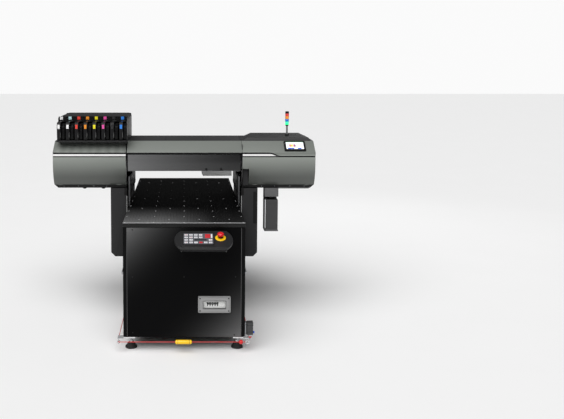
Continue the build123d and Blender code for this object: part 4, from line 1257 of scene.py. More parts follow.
class PRINTER_OT_undercarriage(bpy.types.Operator):
    """Trays, notch block, waste bottle and holder, leg covers and plates beside the bed"""
    bl_idname = "printer.undercarriage"
    bl_label = "Trays, legs and side plates"

    def execute(self, context):
        self.trays()
        self.bottle()
        self.legs()
        self.plates()
        return {"FINISHED"}

    def trays(self):
        """Sheet-metal trays under both housings, the block in the notch, knobs and the bottle's holder."""
        shape = Shape()
        for side in (-1, 1):
            outline = [(side * (SEAM + 0.001), FLOOR_Z + 0.0015), (side * (SEAM + 0.001), TRAY_Z),
                       (side * TRAY_END, TRAY_Z), (side * TRAY_RIM, FLOOR_Z),
                       (side * TRAY_RIM, FLOOR_Z + 0.0015)]
            shape.prism(outline, "y", back(0.8055), back(0.8085), 0, 0.0006, angle=40)
            shape.prism(outline, "y", REAR - 0.007, REAR - 0.0045, 0, 0.0006, angle=40)
            shape.box((side * LEG_SIDE, back(0.808), TRAY_Z),
                      (side * TRAY_END, REAR - 0.006, TRAY_Z + 0.0025), 0, 0.0006)
            edge = thick([(side * TRAY_END, TRAY_Z), (side * TRAY_RIM, FLOOR_Z)], -0.0025 * side)
            shape.prism(edge, "y", back(0.8065), REAR - 0.005, 0)
            for y in (back(0.86), back(1.05), back(1.25), back(1.45)):
                shape.box((side * 0.6, y, TRAY_Z - 0.003), (side * 0.94, y + 0.012, TRAY_Z + 0.001), 0, 0.001)
            shape.box((side * 0.448, back(0.8065), TRAY_Z - 0.0035),
                      (side * 0.566, back(0.8125), TRAY_Z + 0.002), 0, 0.0012)
        stop_x, stop_top = (SEAM + 0.006, NOTCH[0] - 0.002), NOTCH[1] - 0.003
        shape.box((stop_x[0], back(0.775), FLOOR_Z), (stop_x[1], back(0.811), stop_top), 1, 0.003)
        shape.box((stop_x[0] + 0.005, back(0.7735), FLOOR_Z + 0.012),
                  (stop_x[1] - 0.006, back(0.776), stop_top - 0.012), 1, 0.001)
        for x in (-0.778, -0.631):
            knob = [(0, 0), (0.0115, 0), (0.0145, 0.0025), (0.0148, 0.01), (0.012, 0.0138), (0, 0.0138)]
            shape.lathe(knob, (x, back(0.86), TRAY_Z - 0.0138), material=0, steps=28)
            shape.lathe([(0, 0), (0.006, 0), (0.006, 0.002), (0, 0.002)],
                        (x, back(0.86), TRAY_Z - 0.0152), material=2)
        shape.box((0.731, back(0.8045), TRAY_Z - 0.0065), (0.966, back(0.842), TRAY_Z - 0.0008), 4, 0.0008)
        self.holder(shape)
        shape.piece("trays", "print_unit", "tray_black",
                    "tray leg dark_metal holder steel_pale",
                    ["bottom_trays"])
        points = [(s * x, back(0.8055), FLOOR_Z - 0.01) for s in (-1, 1) for x in (0.6, 0.7, 0.82, 0.93)]
        fasteners("tray_screws", points, FACING_FRONT, 0.0035, 0.0018, "print_unit")

    def holder(self, shape):
        """Sheet-metal cradle that hangs the waste bottle under the right tray."""
        left, right = 0.622, 0.728
        for x1, y1, z1, x2, y2, z2, bevel in (
                (left, 0.7765, 0.934, right, 0.7785, 0.9955, 0.0007),
                (left, 0.777, 0.994, right, 0.892, 0.9962, 0.0),
                (left, 0.7775, 0.932, left + 0.0022, 0.891, 0.995, 0.0006),
                (right - 0.0022, 0.7775, 0.932, right, 0.891, 0.995, 0.0006),
                (left, 0.8905, 0.661, right, 0.8928, 0.9955, 0.0007),
                (left, 0.7755, 0.6603, right, 0.8925, 0.6628, 0.0007),
                (left, 0.7752, 0.6605, right, 0.7772, 0.672, 0.0006),
                (left + 0.001, 0.7757, 0.931, right - 0.001, 0.7775, 0.9345, 0.0007)):
            shape.box((x1, back(y1), z1), (x2, back(y2), z2), 3, bevel)

    def bottle(self):
        """Waste bottle with its moulded ribs, a pale strip painted as a highlight down its left edge, and
        knurled cap.
        """
        low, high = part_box("waste_bottle")
        centre = ((low.x + high.x) / 2, (low.y + high.y) / 2)
        shape = Shape()
        outline = patch(high.x - low.x, high.y - low.y, 0.01, centre=centre)
        shape.prism(outline, "z", low.z + 0.001, high.z - 0.022, 0, 0.005, segments=3, angle=50)
        for z in (low.z + 0.03, high.z - 0.052):
            shape.box((low.x + 0.01, low.y - 0.0008, z), (high.x - 0.01, low.y + 0.002, z + 0.004), 0, 0.001)
        # Pale strip down the left edge: a painted highlight.
        shape.box((low.x + 0.0006, low.y - 0.0008, low.z + 0.02),
                  (low.x + 0.0055, low.y + 0.01, high.z - 0.02), 1, 0.001)
        neck = [(0, 0), (0.026, 0), (0.026, 0.01), (0.031, 0.011), (0.032, 0.02),
                (0.028, 0.0225), (0, 0.0225)]
        shape.lathe(neck, (centre[0], centre[1], high.z - 0.024), material=2, steps=36)
        for k in range(18):
            turn = Matrix.Rotation(2 * pi * k / 18, 4, "Z")
            at = Matrix.Translation((centre[0], centre[1], high.z - 0.013)) @ turn
            shape.box((-0.001, 0.0312, 0.0), (0.001, 0.0326, 0.009), 2, matrix=at)
        shape.piece("waste_bottle_body", "waste_bottle", "bottle_black",
                    "hanging bright_plate soot", ["waste_bottle"])

    def legs(self):
        """Covers of both legs; the left one has a handle slot."""
        low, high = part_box("leg_covers")
        front, rear, chamfer = low.y, high.y, 0.032
        shape = Shape()
        for side in (-1, 1):
            flat = [(LEG_EDGE, low.z), (LEG_SIDE - chamfer, low.z),
                    (LEG_SIDE, low.z + chamfer), (LEG_SIDE, high.z)]
            path = [(side * x, z) for x, z in rounded(flat, 0.006, 4)]
            wall = thick(path, -0.0025 * side)
            shape.prism(wall, "y", front, rear, 0, 0.0008, angle=50)
            face = path + [(side * LEG_EDGE, high.z)]
            for y in (front, rear - 0.0025):
                shape.prism(face, "y", y - 0.0004, y + 0.0022, 0, 0.001, angle=40)
            shape.box((side * 0.4415, front - 0.001, low.z + 0.02),
                      (side * 0.4455, front + 0.002, 0.935), 3, 0.0006)
            shape.box((side * 0.441, front - 0.0012, 0.941),
                      (side * 0.462, front + 0.002, high.z - 0.001), 1, 0.001)
        slot = patch(0.029, 0.25, 0.004, 4, HANDLE_SLOT)
        shape.prism(slot, "y", front - 0.0012, front + 0.002, 1)
        rim = patch(0.033, 0.254, 0.005, 4, HANDLE_SLOT)
        shape.prism(rim, "y", front - 0.0009, front + 0.001, 0, 0.0004)
        shape.piece("leg_shells", "print_unit", "leg_black", "leg soot leg_edge steel_pale", ["leg_covers"])
        points = [(s * x, front - 0.0004, z) for s in (-1, 1) for x in (0.455, 0.552) for z in (0.52, 0.68)]
        points += [(-x, front - 0.0004, 0.96) for x in (0.5, 0.55)]
        fasteners("leg_screws", points, FACING_FRONT, 0.0032, 0.0016, "print_unit", "dark_metal")

    def plates(self):
        """Machined plates either side of the bed, with their dark cladding and clamp knobs."""
        shape = Shape()
        shape.node("side_plates")
        for side in (-1, 1):
            clad = rounded([(back(0.902), 0.936), (back(1.478), 0.936), (back(1.478), 1.126),
                            (back(1.088), 1.126), (back(1.088), 1.066), (back(0.902), 1.066)], 0.012, 4, True)
            shape.prism(clad, "x", side * CLAD_X, side * (CLAD_X + 0.006), 1, 0.0016, angle=50)
            for y, z in ((0.93, 0.965), (0.93, 1.035), (1.2, 0.965), (1.42, 0.965), (1.42, 1.09)):
                knob = [(0, 0), (0.0085, 0), (0.0095, 0.001), (0.0095, 0.003), (0.007, 0.0042), (0, 0.0042)]
                shape.lathe(knob, (side * CLAD_X, back(y), z), (-side, 0, 0), 2, 18)
        shape.piece("side_plate_set", "print_unit", "plate_aluminium", "plate leg soot", ["side_plates"])


class PRINTER_OT_bed(bpy.types.Operator):
    """Grooved vacuum bed with its suction holes, screws and folded rim"""
    bl_idname = "printer.bed"
    bl_label = "Vacuum bed"

    def execute(self, context):
        settings = context.scene.printer_settings
        low, high = BED_LOW, BED_HIGH
        shape = Shape()
        shape.prism(self.grooved(low, high, settings.groove_pitch), "y", low.y + 0.009, high.y - 0.009, 0)
        sheet = 0.003
        for y in (low.y, high.y - sheet):
            shape.box((low.x, y, low.z), (high.x, y + sheet, high.z - 0.0008), 3, 0.0016)
        for x in (low.x, high.x - sheet):
            shape.box((x, low.y + 0.002, low.z), (x + sheet, high.y - 0.002, high.z - 0.0008), 3, 0.0014)
        # Strip along the top edge: the front one pale, a painted highlight; the rear one in the dark edge
        # finish.
        for y, material in ((low.y + 0.0002, 2), (high.y - 0.0095, 1)):
            shape.box((low.x + 0.0005, y, high.z - 0.005), (high.x - 0.0005, y + 0.009, high.z), material,
                      0.0013, segments=3)
        shape.piece("bed_sheet", "root", "bed_black", "bed bed_edge bed_lip frame", ["bed_plate"])
        self.holes(settings, low, high)
        self.screws(settings, low, high)
        return {"FINISHED"}

    def grooved(self, low, high, pitch):
        """Top sheet's cross-section (x, z): a shallow V groove every pitch."""
        depth, half = 0.0018, 0.002
        count = int((high.x - low.x) / pitch)
        first = -(count - 1) * pitch / 2
        points = [(low.x + 0.001, high.z - 0.006), (low.x + 0.001, high.z)]
        for k in range(count):
            x = first + k * pitch
            points += [(x - half, high.z), (x, high.z - depth), (x + half, high.z)]
        return points + [(high.x - 0.001, high.z), (high.x - 0.001, high.z - 0.006)]

    def holes(self, settings, low, high):
        """Suction holes lie on the flats between grooves, row by row."""
        pitch, step = settings.groove_pitch * 2, settings.hole_step
        columns = int((high.x - low.x - 0.04) / pitch)
        rows = int((high.y - low.y - 0.05) / step)
        points = []
        for row in range(rows):
            y = low.y + 0.025 + (row + 0.5) * (high.y - low.y - 0.05) / rows
            for column in range(columns):
                x = (column - (columns - 1) / 2) * pitch + settings.groove_pitch / 2
                points.append((x, y, high.z + 0.0001))
        values = {"Radius": 0.0016, "Rim": 0.0004, "Dark": FINISH["soot"]}
        grown("suction_holes", TREES["perforation"], points, values, "root")

    def screws(self, settings, low, high):
        """Countersunk screws that fix the bed to the plenum, in staggered columns."""
        points = []
        for x in (-0.4, -0.207, 0.0, 0.207, 0.4):
            points += [(x, low.y + 0.012 + k * 0.2, high.z + 0.0003) for k in range(10)]
        for x in (-0.31, -0.104, 0.104, 0.31):
            points += [(x, low.y + 0.112 + k * 0.4, high.z + 0.0003) for k in range(5)]
        points += [(x, low.y + 0.006, high.z + 0.0003) for x in (-0.31, -0.104, 0.104, 0.31)]
        fasteners("bed_screws", points, FACING_UP, settings.bed_screw, 0.001, "root",
                  "screw_bright")


class PRINTER_OT_table(bpy.types.Operator):
    """Cabinet under the bed: folded panels, screws and grille"""
    bl_idname = "printer.table"
    bl_label = "Table cabinet"

    def execute(self, context):
        self.front()
        self.sides()
        self.rear()
        self.screws()
        return {"FINISHED"}

    def front(self):
        """Front panel with the opening for the breaker box, and folded edges; the upright ones are paler, a
        painted highlight.
        """
        low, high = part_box("front_panel")
        box_low, box_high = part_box("breaker_box")
        y, lap, rim = low.y, 0.004, 0.0035
        x1, x2, z1, z2 = box_low.x + lap, box_high.x - lap, box_low.z + lap, box_high.z - lap
        shape = Shape()
        for a, b, c, d in ((low.x, x1, low.z, high.z), (x2, high.x, low.z, high.z), (x1, x2, low.z, z1),
                           (x1, x2, z2, high.z)):
            shape.box((a, y + 0.0003, c), (b, y + 0.002, d), 0)
        # The upright folded edges take the paler finish, a painted highlight.
        for a, b, c, d, finish in ((low.x, high.x, high.z - rim, high.z, 0),
                                   (low.x, high.x, low.z, low.z + rim, 0),
                                   (low.x, low.x + rim, low.z, high.z, 1),
                                   (high.x - rim, high.x, low.z, high.z, 1)):
            shape.box((a, y - 0.0006, c), (b, y + 0.002, d), finish, 0.0009)
        shape.piece("front_door", "root", "panel_black", "door panel_edge", ["front_panel"])

    def sides(self):
        """Side panels in two heights with the long slot between them, and seams over the frame's posts."""
        low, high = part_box("side_panels")
        slot_low, slot_high, hem = 0.49, 0.59, 0.017
        y1, y2 = low.y, high.y
        shape = Shape()
        for side in (-1, 1):
            outer = side * high.x
            for z1, z2 in ((low.z, slot_low), (slot_high, high.z)):
                shape.box((side * (high.x - 0.003), y1, z1), (outer, y2, z2), 0, 0.0008)
            for y in (y1, y2 - hem):
                shape.box((side * (high.x - 0.003), y, slot_low - 0.001),
                          (outer, y + hem, slot_high + 0.001), 0)
            for z in (slot_low, slot_high):
                shape.box((side * (high.x - 0.008), y1 + hem, z - 0.0015),
                          (side * (high.x - 0.0002), y2 - hem, z + 0.0015), 0, 0.0006)
            for y in (y1, y2 - 0.002):
                shape.box((side * 0.39, y, low.z), (side * (high.x - 0.001), y + 0.002, high.z), 0, 0.0006)
            for y in (back(0.66), back(1.33)):
                for z1, z2 in ((low.z, slot_low), (slot_high, high.z)):
                    shape.box((side * (high.x - 0.001), y, z1 + 0.004),
                              (side * (high.x + 0.0004), y + 0.0016, z2 - 0.004), 1)
        shape.piece("cabinet_sides", "root", "side_black", "panel soot", ["side_panels"])

    def rear(self):
        """Rear panel with two seams and the louvred vent."""
        low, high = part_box("rear_panel")
        shape = Shape()
        shape.node("rear_panel")
        for x in (-0.3, 0.3):
            shape.box((x - 0.002, high.y - 0.001, low.z + 0.01),
                      (x + 0.002, high.y + 0.0006, high.z - 0.01), 0, 0.0008)
        frame_low, frame_high = (-0.235, 0.3), (0.025, 0.48)
        shape.box((frame_low[0], high.y - 0.001, frame_low[1]),
                  (frame_high[0], high.y + 0.0014, frame_high[1]), 1, 0.001)
        shape.piece("cabinet_rear", "root", "panel_black", "panel soot", ["rear_panel"])
        values = {"Width": 0.25, "Pitch": 0.011, "Count": 15, "Blade": 0.01, "Steel": FINISH["panel"]}
        points = [((frame_low[0] + frame_high[0]) / 2, high.y + 0.002, frame_high[1] - 0.013)]
        grown("cabinet_louvres", TREES["louvre"], points, values, "root")

    def screws(self):
        """Button heads on all four sides, in the rows where the panels meet the frame."""
        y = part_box("front_panel")[0].y
        front = [(-0.349, y, 0.842), (-0.349, y, 0.519), (-0.349, y, 0.13), (0.342, y, 0.115),
                 (0.0, y, 0.519), (0.349, y, 0.519)]
        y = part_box("rear_panel")[1].y
        rear = [(x, y, z) for x in (-0.37, -0.19, 0.0, 0.19, 0.37) for z in (0.13, 0.83)]
        rows = [("front", front, FACING_FRONT, 0.0022, ["panel_screws"]),
                ("rear", rear, FACING_REAR, 0.0022, [])]
        for side, turn, name in ((-1, FACING_LEFT, "left_side"), (1, FACING_RIGHT, "right_side")):
            x = side * BED_HIGH.x
            points = [(x, back(0.06 + k * 0.376), z) for k in range(6) for z in (0.13, 0.46, 0.62, 0.83)]
            rows.append((name, points, turn, 0.0012, []))
        for name, points, turn, height, nodes in rows:
            fasteners(name + "_screws", points, turn, 0.0042, height, "root", "black_screw",
                      replaces=nodes)


class PRINTER_OT_console(bpy.types.Operator):
    """Operator console: bowed housing, key panel, stop button and its bracket"""
    bl_idname = "printer.console"
    bl_label = "Console"

    def execute(self, context):
        front, rear = (back(-0.2), 0.767), (back(-0.016), 0.841)
        low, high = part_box("console_housing")
        centre = ((low.x + high.x) / 2, (front[0] + rear[0]) / 2, (front[1] + rear[1]) / 2)
        slope = atan2(rear[1] - front[1], rear[0] - front[0])
        deep = hypot(rear[0] - front[0], rear[1] - front[1]) / 2
        at = local(centre, (1, 0, 0), (0, -sin(slope), cos(slope)))
        half = (high.x - low.x) / 2
        screen_u = 0.094 - centre[0]
        stop_u, stop_v = 0.241 - centre[0], 0.011
        self.housing(at, half, deep, screen_u, stop_u)
        self.keys(at, screen_u)
        self.stop(at, stop_u, stop_v)
        self.bracket()
        corners = [(-half + 0.048, deep - 0.018), (-half + 0.048, -deep + 0.018),
                   (half - 0.046, deep - 0.018), (half - 0.046, -deep + 0.018)]
        points = [at @ Vector((u, v, 0.0004)) for u, v in corners]
        fasteners("console_screws", points, tuple(at.to_euler()), 0.0034, 0.0014, "root",
                  "black_screw")
        return {"FINISHED"}

    def outline(self, half, deep, inset):
        """Straight long edges and bulging ends."""
        h, d = half - inset, deep - inset
        shoulder = h - 0.042
        middle, radius = circle_through(Vector((shoulder, -d)), Vector((h, 0)), Vector((shoulder, d)))
        reach = atan2(d, shoulder - middle.x)
        right = [(middle.x + radius * cos(reach * k / 10),
                  radius * sin(reach * k / 10)) for k in range(-10, 11)]
        return right + [(-x, -z) for x, z in right]

    def housing(self, at, half, deep, screen_u, stop_u):
        """Bowed case, its shadow gap and underside, and the two raised plates on top."""
        shape = Shape()
        shape.prism(self.outline(half, deep, 0.0), "z", -0.019, -0.0002, 0, 0.006,
                    segments=4, matrix=at, angle=50)
        shape.prism(self.outline(half, deep, 0.003), "z", -0.0215, -0.018, 1, matrix=at)
        shape.prism(self.outline(half, deep, 0.036), "z", -0.0446, -0.02, 0, 0.006,
                    segments=3, matrix=at, angle=50)
        plate = patch(0.226, 2 * deep - 0.018, 0.004, 3, (screen_u, 0.0))
        shape.prism(plate, "z", -0.003, 0.001, 0, 0.0008, matrix=at, angle=50)
        field = [(stop_u - 0.052, -deep + 0.009), (stop_u + 0.04, -deep + 0.009), (stop_u + 0.058, 0.0),
                 (stop_u + 0.04, deep - 0.009), (stop_u - 0.052, deep - 0.009)]
        shape.prism(rounded(field, 0.012, 5, True), "z", -0.003, 0.0009, 0, 0.0007, matrix=at, angle=50)
        shape.piece("console_case", "root", "console_black", "console soot", ["console_housing"])

    def keys(self, at, screen_u):
        """Display window and membrane keys with plain coloured caps."""
        shape = Shape()
        shape.prism(patch(0.206, 0.134, 0.004, 3, (screen_u, 0.0)), "z", 0.0, 0.0036, 0,
                    0.0008, matrix=at, angle=50)
        shape.prism(patch(0.196, 0.122, 0.003, 3, (screen_u, 0.0)), "z", 0.003, 0.004, 1, matrix=at)
        cap = 0.023
        for row in range(4):
            for column in range(6):
                u = -0.08 + column * 0.032
                v = 0.043 - row * 0.0285
                if column == 5 and row < 2 or column == 4 and row < 2 or row == 2 and 2 <= column <= 4:
                    continue
                material = 3 if (row, column) == (3, 3) else 2
                self.key(shape, at, screen_u + u, v, cap, 0.0165, material)
                if material == 2:
                    mark = 0.01 if (row + column) % 2 else 0.013
                    self.key(shape, at, screen_u + u, v, mark, 0.003,
                             5 if (row * 5 + column) % 3 else 3, 0.0054)
        self.key(shape, at, screen_u + 0.0625, 0.0295, 0.036, 0.044, 3)
        self.key(shape, at, screen_u + 0.0885, 0.0295, 0.01, 0.044, 2)
        self.key(shape, at, screen_u + 0.014, -0.013, 0.08, 0.015, 4)
        shape.piece("console_keys", "root", "screen_glass",
                    "soot key_grey key_white key_red display ui_dark", ["console_screen"])

    def key(self, shape, at, u, v, width, height, material, top=0.005):
        outline = patch(width, height, 0.0016, 3, (u, v))
        shape.prism(outline, "z", 0.0036, top, material, 0.0005 if top < 0.0052 else 0, matrix=at, angle=50)

    def stop(self, at, u, v):
        """Yellow ring and red mushroom button."""
        normal = at.to_3x3() @ Vector((0, 0, 1))
        foot = at @ Vector((u, v, 0))
        shape = Shape()
        ring = [(0.01, 0.0), (0.0345, 0.0), (0.0352, 0.0008), (0.0352, 0.0042), (0.0335, 0.0056),
                (0.02, 0.0064), (0.01, 0.0064)]
        shape.lathe(ring, foot, normal, 0, 48)
        shape.lathe([(0.0095, 0.004), (0.0155, 0.004), (0.0162, 0.005), (0.0162, 0.0105), (0.015, 0.0118),
                     (0.0095, 0.0118)], foot, normal, 1, 36)
        for k in range(3):
            a = 2 * pi * k / 3 + 0.4
            x, y = u + 0.026 * cos(a), v + 0.026 * sin(a)
            arrow = [(x - 0.003, y - 0.0015), (x + 0.003, y), (x - 0.003, y + 0.0015)]
            shape.prism(arrow, "z", 0.0055, 0.0068, 1, matrix=at)
        shape.piece("stop_ring", "root", "safety_yellow", "yellow soot", ["estop_collar"])
        button = Shape()
        button.lathe([(0, -0.0137), (0.0086, -0.0137), (0.0088, -0.013), (0.0088, 0.0162), (0.0125, 0.0205),
                      (0.0195, 0.024), (0.0222, 0.0262), (0.0226, 0.029), (0.0226, 0.0325), (0.0214, 0.0358),
                      (0.018, 0.0392), (0.013, 0.0414), (0.007, 0.0426), (0, 0.043)], foot, normal, 0, 48)
        button.piece("stop_button", "estop_knob", "knob_red", "red", ["estop_knob"])

    def bracket(self):
        """Console bracket with the pale edges of its two cheeks."""
        low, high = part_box("console_bracket")
        shape = Shape()
        shape.node("console_bracket")
        for x in (low.x + 0.003, high.x - 0.008):
            edge = [(back(-0.118) - 0.001, 0.7535), (back(-0.024) - 0.001, 0.6985)]
            shape.prism(thick(edge, 0.003), "x", x, x + 0.005, 1, 0.0006)
        shape.piece("console_support", "root", "bracket_black", "leg leg_edge", ["console_bracket"])


class PRINTER_OT_breaker(bpy.types.Operator):
    """Breaker box with its clear flap, modules and ganged toggle"""
    bl_idname = "printer.breaker"
    bl_label = "Breaker box"

    def execute(self, context):
        low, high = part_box("breaker_box")
        front = low.y
        window = ((0.131, 0.302), (0.282, 0.354))
        inset, rim = 0.0015, 0.006
        edge = ((low.x + inset + rim, low.z + inset + rim), (high.x - inset - rim, high.z - inset - rim))
        shape = Shape()
        shape.node("breaker_box")
        self.bars(shape, edge, front - 0.0018, front + 0.0008, rim, 0, rim)
        self.bars(shape, window, front - 0.0034, front + 0.002, 0.022, 0, 0.001)
        self.bars(shape, window, front - 0.004, front + 0.01, 0.004, 1, 0.001)
        shape.box((window[0][0] - 0.002, back(0.0085), window[0][1] - 0.002),
                  (window[1][0] + 0.002, back(0.01), window[1][1] + 0.002), 2)
        shape.piece("breaker_case", "root", "breaker_grey", "breaker breaker_rim module", ["breaker_box"])
        points = [(x, front - 0.0018, z)
                  for x in (low.x + 0.014, high.x - 0.014) for z in (low.z + 0.014, high.z - 0.014)]
        fasteners("breaker_screws", points, FACING_FRONT, 0.0052, 0.0022, "root",
                  "black_screw")
        self.modules()
        self.toggle()
        self.flap()
        return {"FINISHED"}

    def bars(self, shape, outline, y1, y2, wide, material, lap=0.0):
        """Four bars round a window; the upright ones lap onto the level ones."""
        (x1, z1), (x2, z2) = outline
        for a, b in (((x1 - wide, z1 - wide), (x2 + wide, z1)), ((x1 - wide, z2), (x2 + wide, z2 + wide)),
                     ((x1 - wide, z1 - lap), (x1, z2 + lap)), ((x2, z1 - lap), (x2 + wide, z2 + lap))):
            shape.box((a[0], y1, a[1]), (b[0], y2, b[1]), material, 0.0008)

    def modules(self):
        """Row of five breakers with a dark well behind each lever."""
        low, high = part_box("breaker_modules")
        shape = Shape()
        pitch = (high.x - low.x) / 5
        shape.node("breaker_modules")
        for k in range(5):
            x = low.x + k * pitch
            for z in (0.3435, 0.3025):
                shape.box((x + 0.0006, low.y - 0.0012, z),
                          (x + pitch - 0.0006, low.y + 0.001, z + 0.01), 0, 0.0006)
            shape.box((x - 0.0003, low.y - 0.0014, 0.3025), (x + 0.0003, low.y + 0.001, 0.3535), 1)
        lever_low, lever_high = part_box("breaker_handle")
        step = (lever_high.x - lever_low.x) / 5
        for k in range(5):
            x = lever_low.x + (k + 0.5) * step
            well = [(x - step * 0.42, lever_high.z + 0.004), (x + step * 0.42, lever_high.z + 0.004),
                    (x + step * 0.16, lever_low.z - 0.006), (x - step * 0.16, lever_low.z - 0.006)]
            shape.prism(well, "y", low.y - 0.0016, low.y + 0.001, 1)
        shape.piece("breaker_row", "root", "module_grey", "module soot", ["breaker_modules"])

    def toggle(self):
        shape = Shape()
        shape.node("breaker_handle")
        shape.piece("toggle_gang", "breaker_handle", "switch_black", "soot", ["breaker_handle"])

    def flap(self):
        """Clear flap with its hinge roll and finger lip."""
        low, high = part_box("breaker_door")
        shape = Shape()
        y = low.y
        shape.box((low.x, y + 0.0004, low.z), (high.x, y + 0.0022, high.z - 0.0025), 0, 0.0006)
        shape.lathe([(0, low.x), (0.0014, low.x), (0.0014, high.x), (0, high.x)], (0, back(-0.006), 0.352),
                    (1, 0, 0), 0, 14)
        shape.box(((low.x + high.x) / 2 - 0.012, y, low.z + 0.001),
                  ((low.x + high.x) / 2 + 0.012, y + 0.0012, low.z + 0.005), 0, 0.0006)
        shape.piece("breaker_flap", "breaker_door", "door_clear", "flap", ["breaker_door"])


class PRINTER_OT_rope(bpy.types.Operator):
    """Emergency trip rope's eyes, grip, ball and switch"""
    bl_idname = "printer.rope"
    bl_label = "Trip rope"

    def execute(self, context):
        dress("rope", "trip_rope")
        shape = Shape()
        shape.node("rope_fittings")
        shape.piece("rope_eyes", "root", "chrome_fittings", "chrome", ["rope_fittings"], smooth=50)
        self.grip()
        self.switch()
        return {"FINISHED"}

    def grip(self):
        """Yellow grip in the middle of the front rope, and the red ball at its end."""
        low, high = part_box("rope_marker")
        centre = (low + high) / 2
        half, radius = (high.x - low.x) / 2, (high.z - low.z) / 2
        shape = Shape()
        profile = [(0.003, -half), (radius - 0.0055, -half), (radius - 0.0015, -half + 0.003),
                   (radius, -half + 0.008), (radius, half - 0.008), (radius - 0.0015, half - 0.003),
                   (radius - 0.0055, half), (0.003, half)]
        shape.lathe(profile, centre, (1, 0, 0), 0, 36)
        for sign in (-1, 1):
            band = [(radius - 0.0005, -0.0012), (radius + 0.0003, -0.0008), (radius + 0.0003, 0.0008),
                    (radius - 0.0005, 0.0012)]
            shape.lathe(band, centre + Vector((sign * (half - 0.016), 0, 0)), (1, 0, 0), 1, 36)
        shape.piece("rope_grip", "root", "safety_yellow", "yellow soot", ["rope_marker"])
        low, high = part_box("rope_ball")
        centre, radius = (low + high) / 2, (high.x - low.x) / 2
        ball = Shape()
        start = 0.2
        arc = [(radius * sin(start + (pi - 2 * start) * k / 16),
                -radius * cos(start + (pi - 2 * start) * k / 16))
               for k in range(17)]
        ball.lathe([(0.0028, arc[0][1])] + arc + [(0.0028, arc[-1][1])], centre, (1, 0, 0), 0, 32)
        ball.piece("rope_end_ball", "root", "knob_red", "red", ["rope_ball"])

    def switch(self):
        """Switch body with cover seams, mounting strap, red boot and blue reset."""
        shape = Shape()
        shape.node("rope_switch_body")
        shape.box((0.433, back(-0.0108), 0.126), (0.467, back(-0.009), 0.192), 0, 0.0008)
        for z in (0.139, 0.186):
            shape.box((0.429, back(-0.0115), z - 0.0007), (0.471, back(-0.006), z + 0.0007), 1)
        for k in range(7):
            z = 0.146 + k * 0.0055
            shape.box((0.44, back(-0.0116), z), (0.46, back(-0.01), z + 0.0026), 0, 0.0005)
        shape.box((0.4145, back(-0.0065), 0.114), (0.4205, back(0.044), 0.204), 2, 0.001)
        shape.piece("rope_switch_case", "root", "switch_black", "hanging soot zinc", ["rope_switch_body"])
        points = [(0.4175, back(-0.0065), z) for z in (0.128, 0.19)]
        fasteners("rope_switch_screws", points, FACING_FRONT, 0.0028, 0.0016, "root")
        boot = Shape()
        boot.node("rope_switch_boot", 1)
        x, y = 0.451, back(0.02)
        profile = [(0, 0.0905)]
        for k in range(4):
            z = 0.0915 + k * 0.0065
            profile += [(0.0105 + k * 0.0017, z), (0.0125 + k * 0.0017, z + 0.003),
                        (0.0108 + k * 0.0017, z + 0.0058)]
        profile += [(0.0172, 0.1176), (0, 0.1176)]
        boot.lathe(profile, (x, y, 0), material=0, steps=32)
        boot.piece("rope_switch_bellows", "root", "knob_red", "red chrome", ["rope_switch_boot"], smooth=50)
        reset = Shape()
        reset.lathe([(0, 0), (0.0079, 0), (0.0079, 0.0155), (0.007, 0.017), (0, 0.0175)],
                    (0.4635, back(0.02), 0.128), (1, 0, 0), 0, 28)
        reset.piece("reset_cap", "rope_switch_reset", "reset_blue", "blue", ["rope_switch_reset"])


class PRINTER_OT_feet(bpy.types.Operator):
    """Levelling feet: rubber shoe, steel swivel, threaded stem and lock nut"""
    bl_idname = "printer.feet"
    bl_label = "Levelling feet"

    def execute(self, context):
        for end in ("front", "rear"):
            for side in ("left", "right"):
                self.foot(f"foot_{end}_{side}")
        self.plates()
        return {"FINISHED"}

    def plates(self):
        """Bright plates under the corner posts that the feet screw into."""
        shape = Shape()
        for side in (-1, 1):
            for y in (back(0.004), BED_HIGH.y - 0.134):
                shape.box((side * 0.334, y, 0.0905), (side * 0.409, y + 0.13, 0.0985), 0, 0.0012)
        shape.piece("foot_plates", "root", "foot_steel", "bright_plate")

    def foot(self, name):
        """One foot: shoe with a moulded bead, swivel, threaded stem and lock nut."""
        low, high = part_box(name)
        x, y, radius = (low.x + high.x) / 2, (low.y + high.y) / 2, (high.x - low.x) / 2
        shape = Shape()
        shoe = [(0, 0), (radius - 0.002, 0), (radius - 0.0003, 0.0014), (radius - 0.0003, 0.0105),
                (radius - 0.0022, 0.0135), (radius - 0.008, 0.0165), (0.024, 0.033), (0.0175, 0.0405),
                (0.0135, 0.044), (0, 0.044)]
        shape.lathe(shoe, (x, y, 0), material=0, steps=48)
        shape.lathe([(radius - 0.0006, 0.005), (radius + 0.0, 0.0056), (radius, 0.0074),
                     (radius - 0.0006, 0.008)],
                    (x, y, 0), material=0, steps=48)
        swivel = [(0, 0.043), (0.0125, 0.043), (0.013, 0.0445), (0.013, 0.05), (0.011, 0.053), (0, 0.053)]
        shape.lathe(swivel, (x, y, 0), material=1, steps=32)
        stem = [(0, 0.052)]
        pitch = 0.002
        turns = 46
        for k in range(turns):
            z = 0.0525 + k * pitch
            stem += [(0.007, z), (0.0079, z + pitch / 2)]
        shape.lathe(stem + [(0.007, 0.147), (0, 0.149)], (x, y, 0), material=1, steps=16)
        nut = [(x + 0.014 * cos(pi / 3 * k), y + 0.014 * sin(pi / 3 * k)) for k in range(6)]
        shape.prism(nut, "z", 0.0871, 0.0937, 1, 0.0012)
        shape.piece(name + "_set", name, "foot_steel", "rubber chrome", [name])


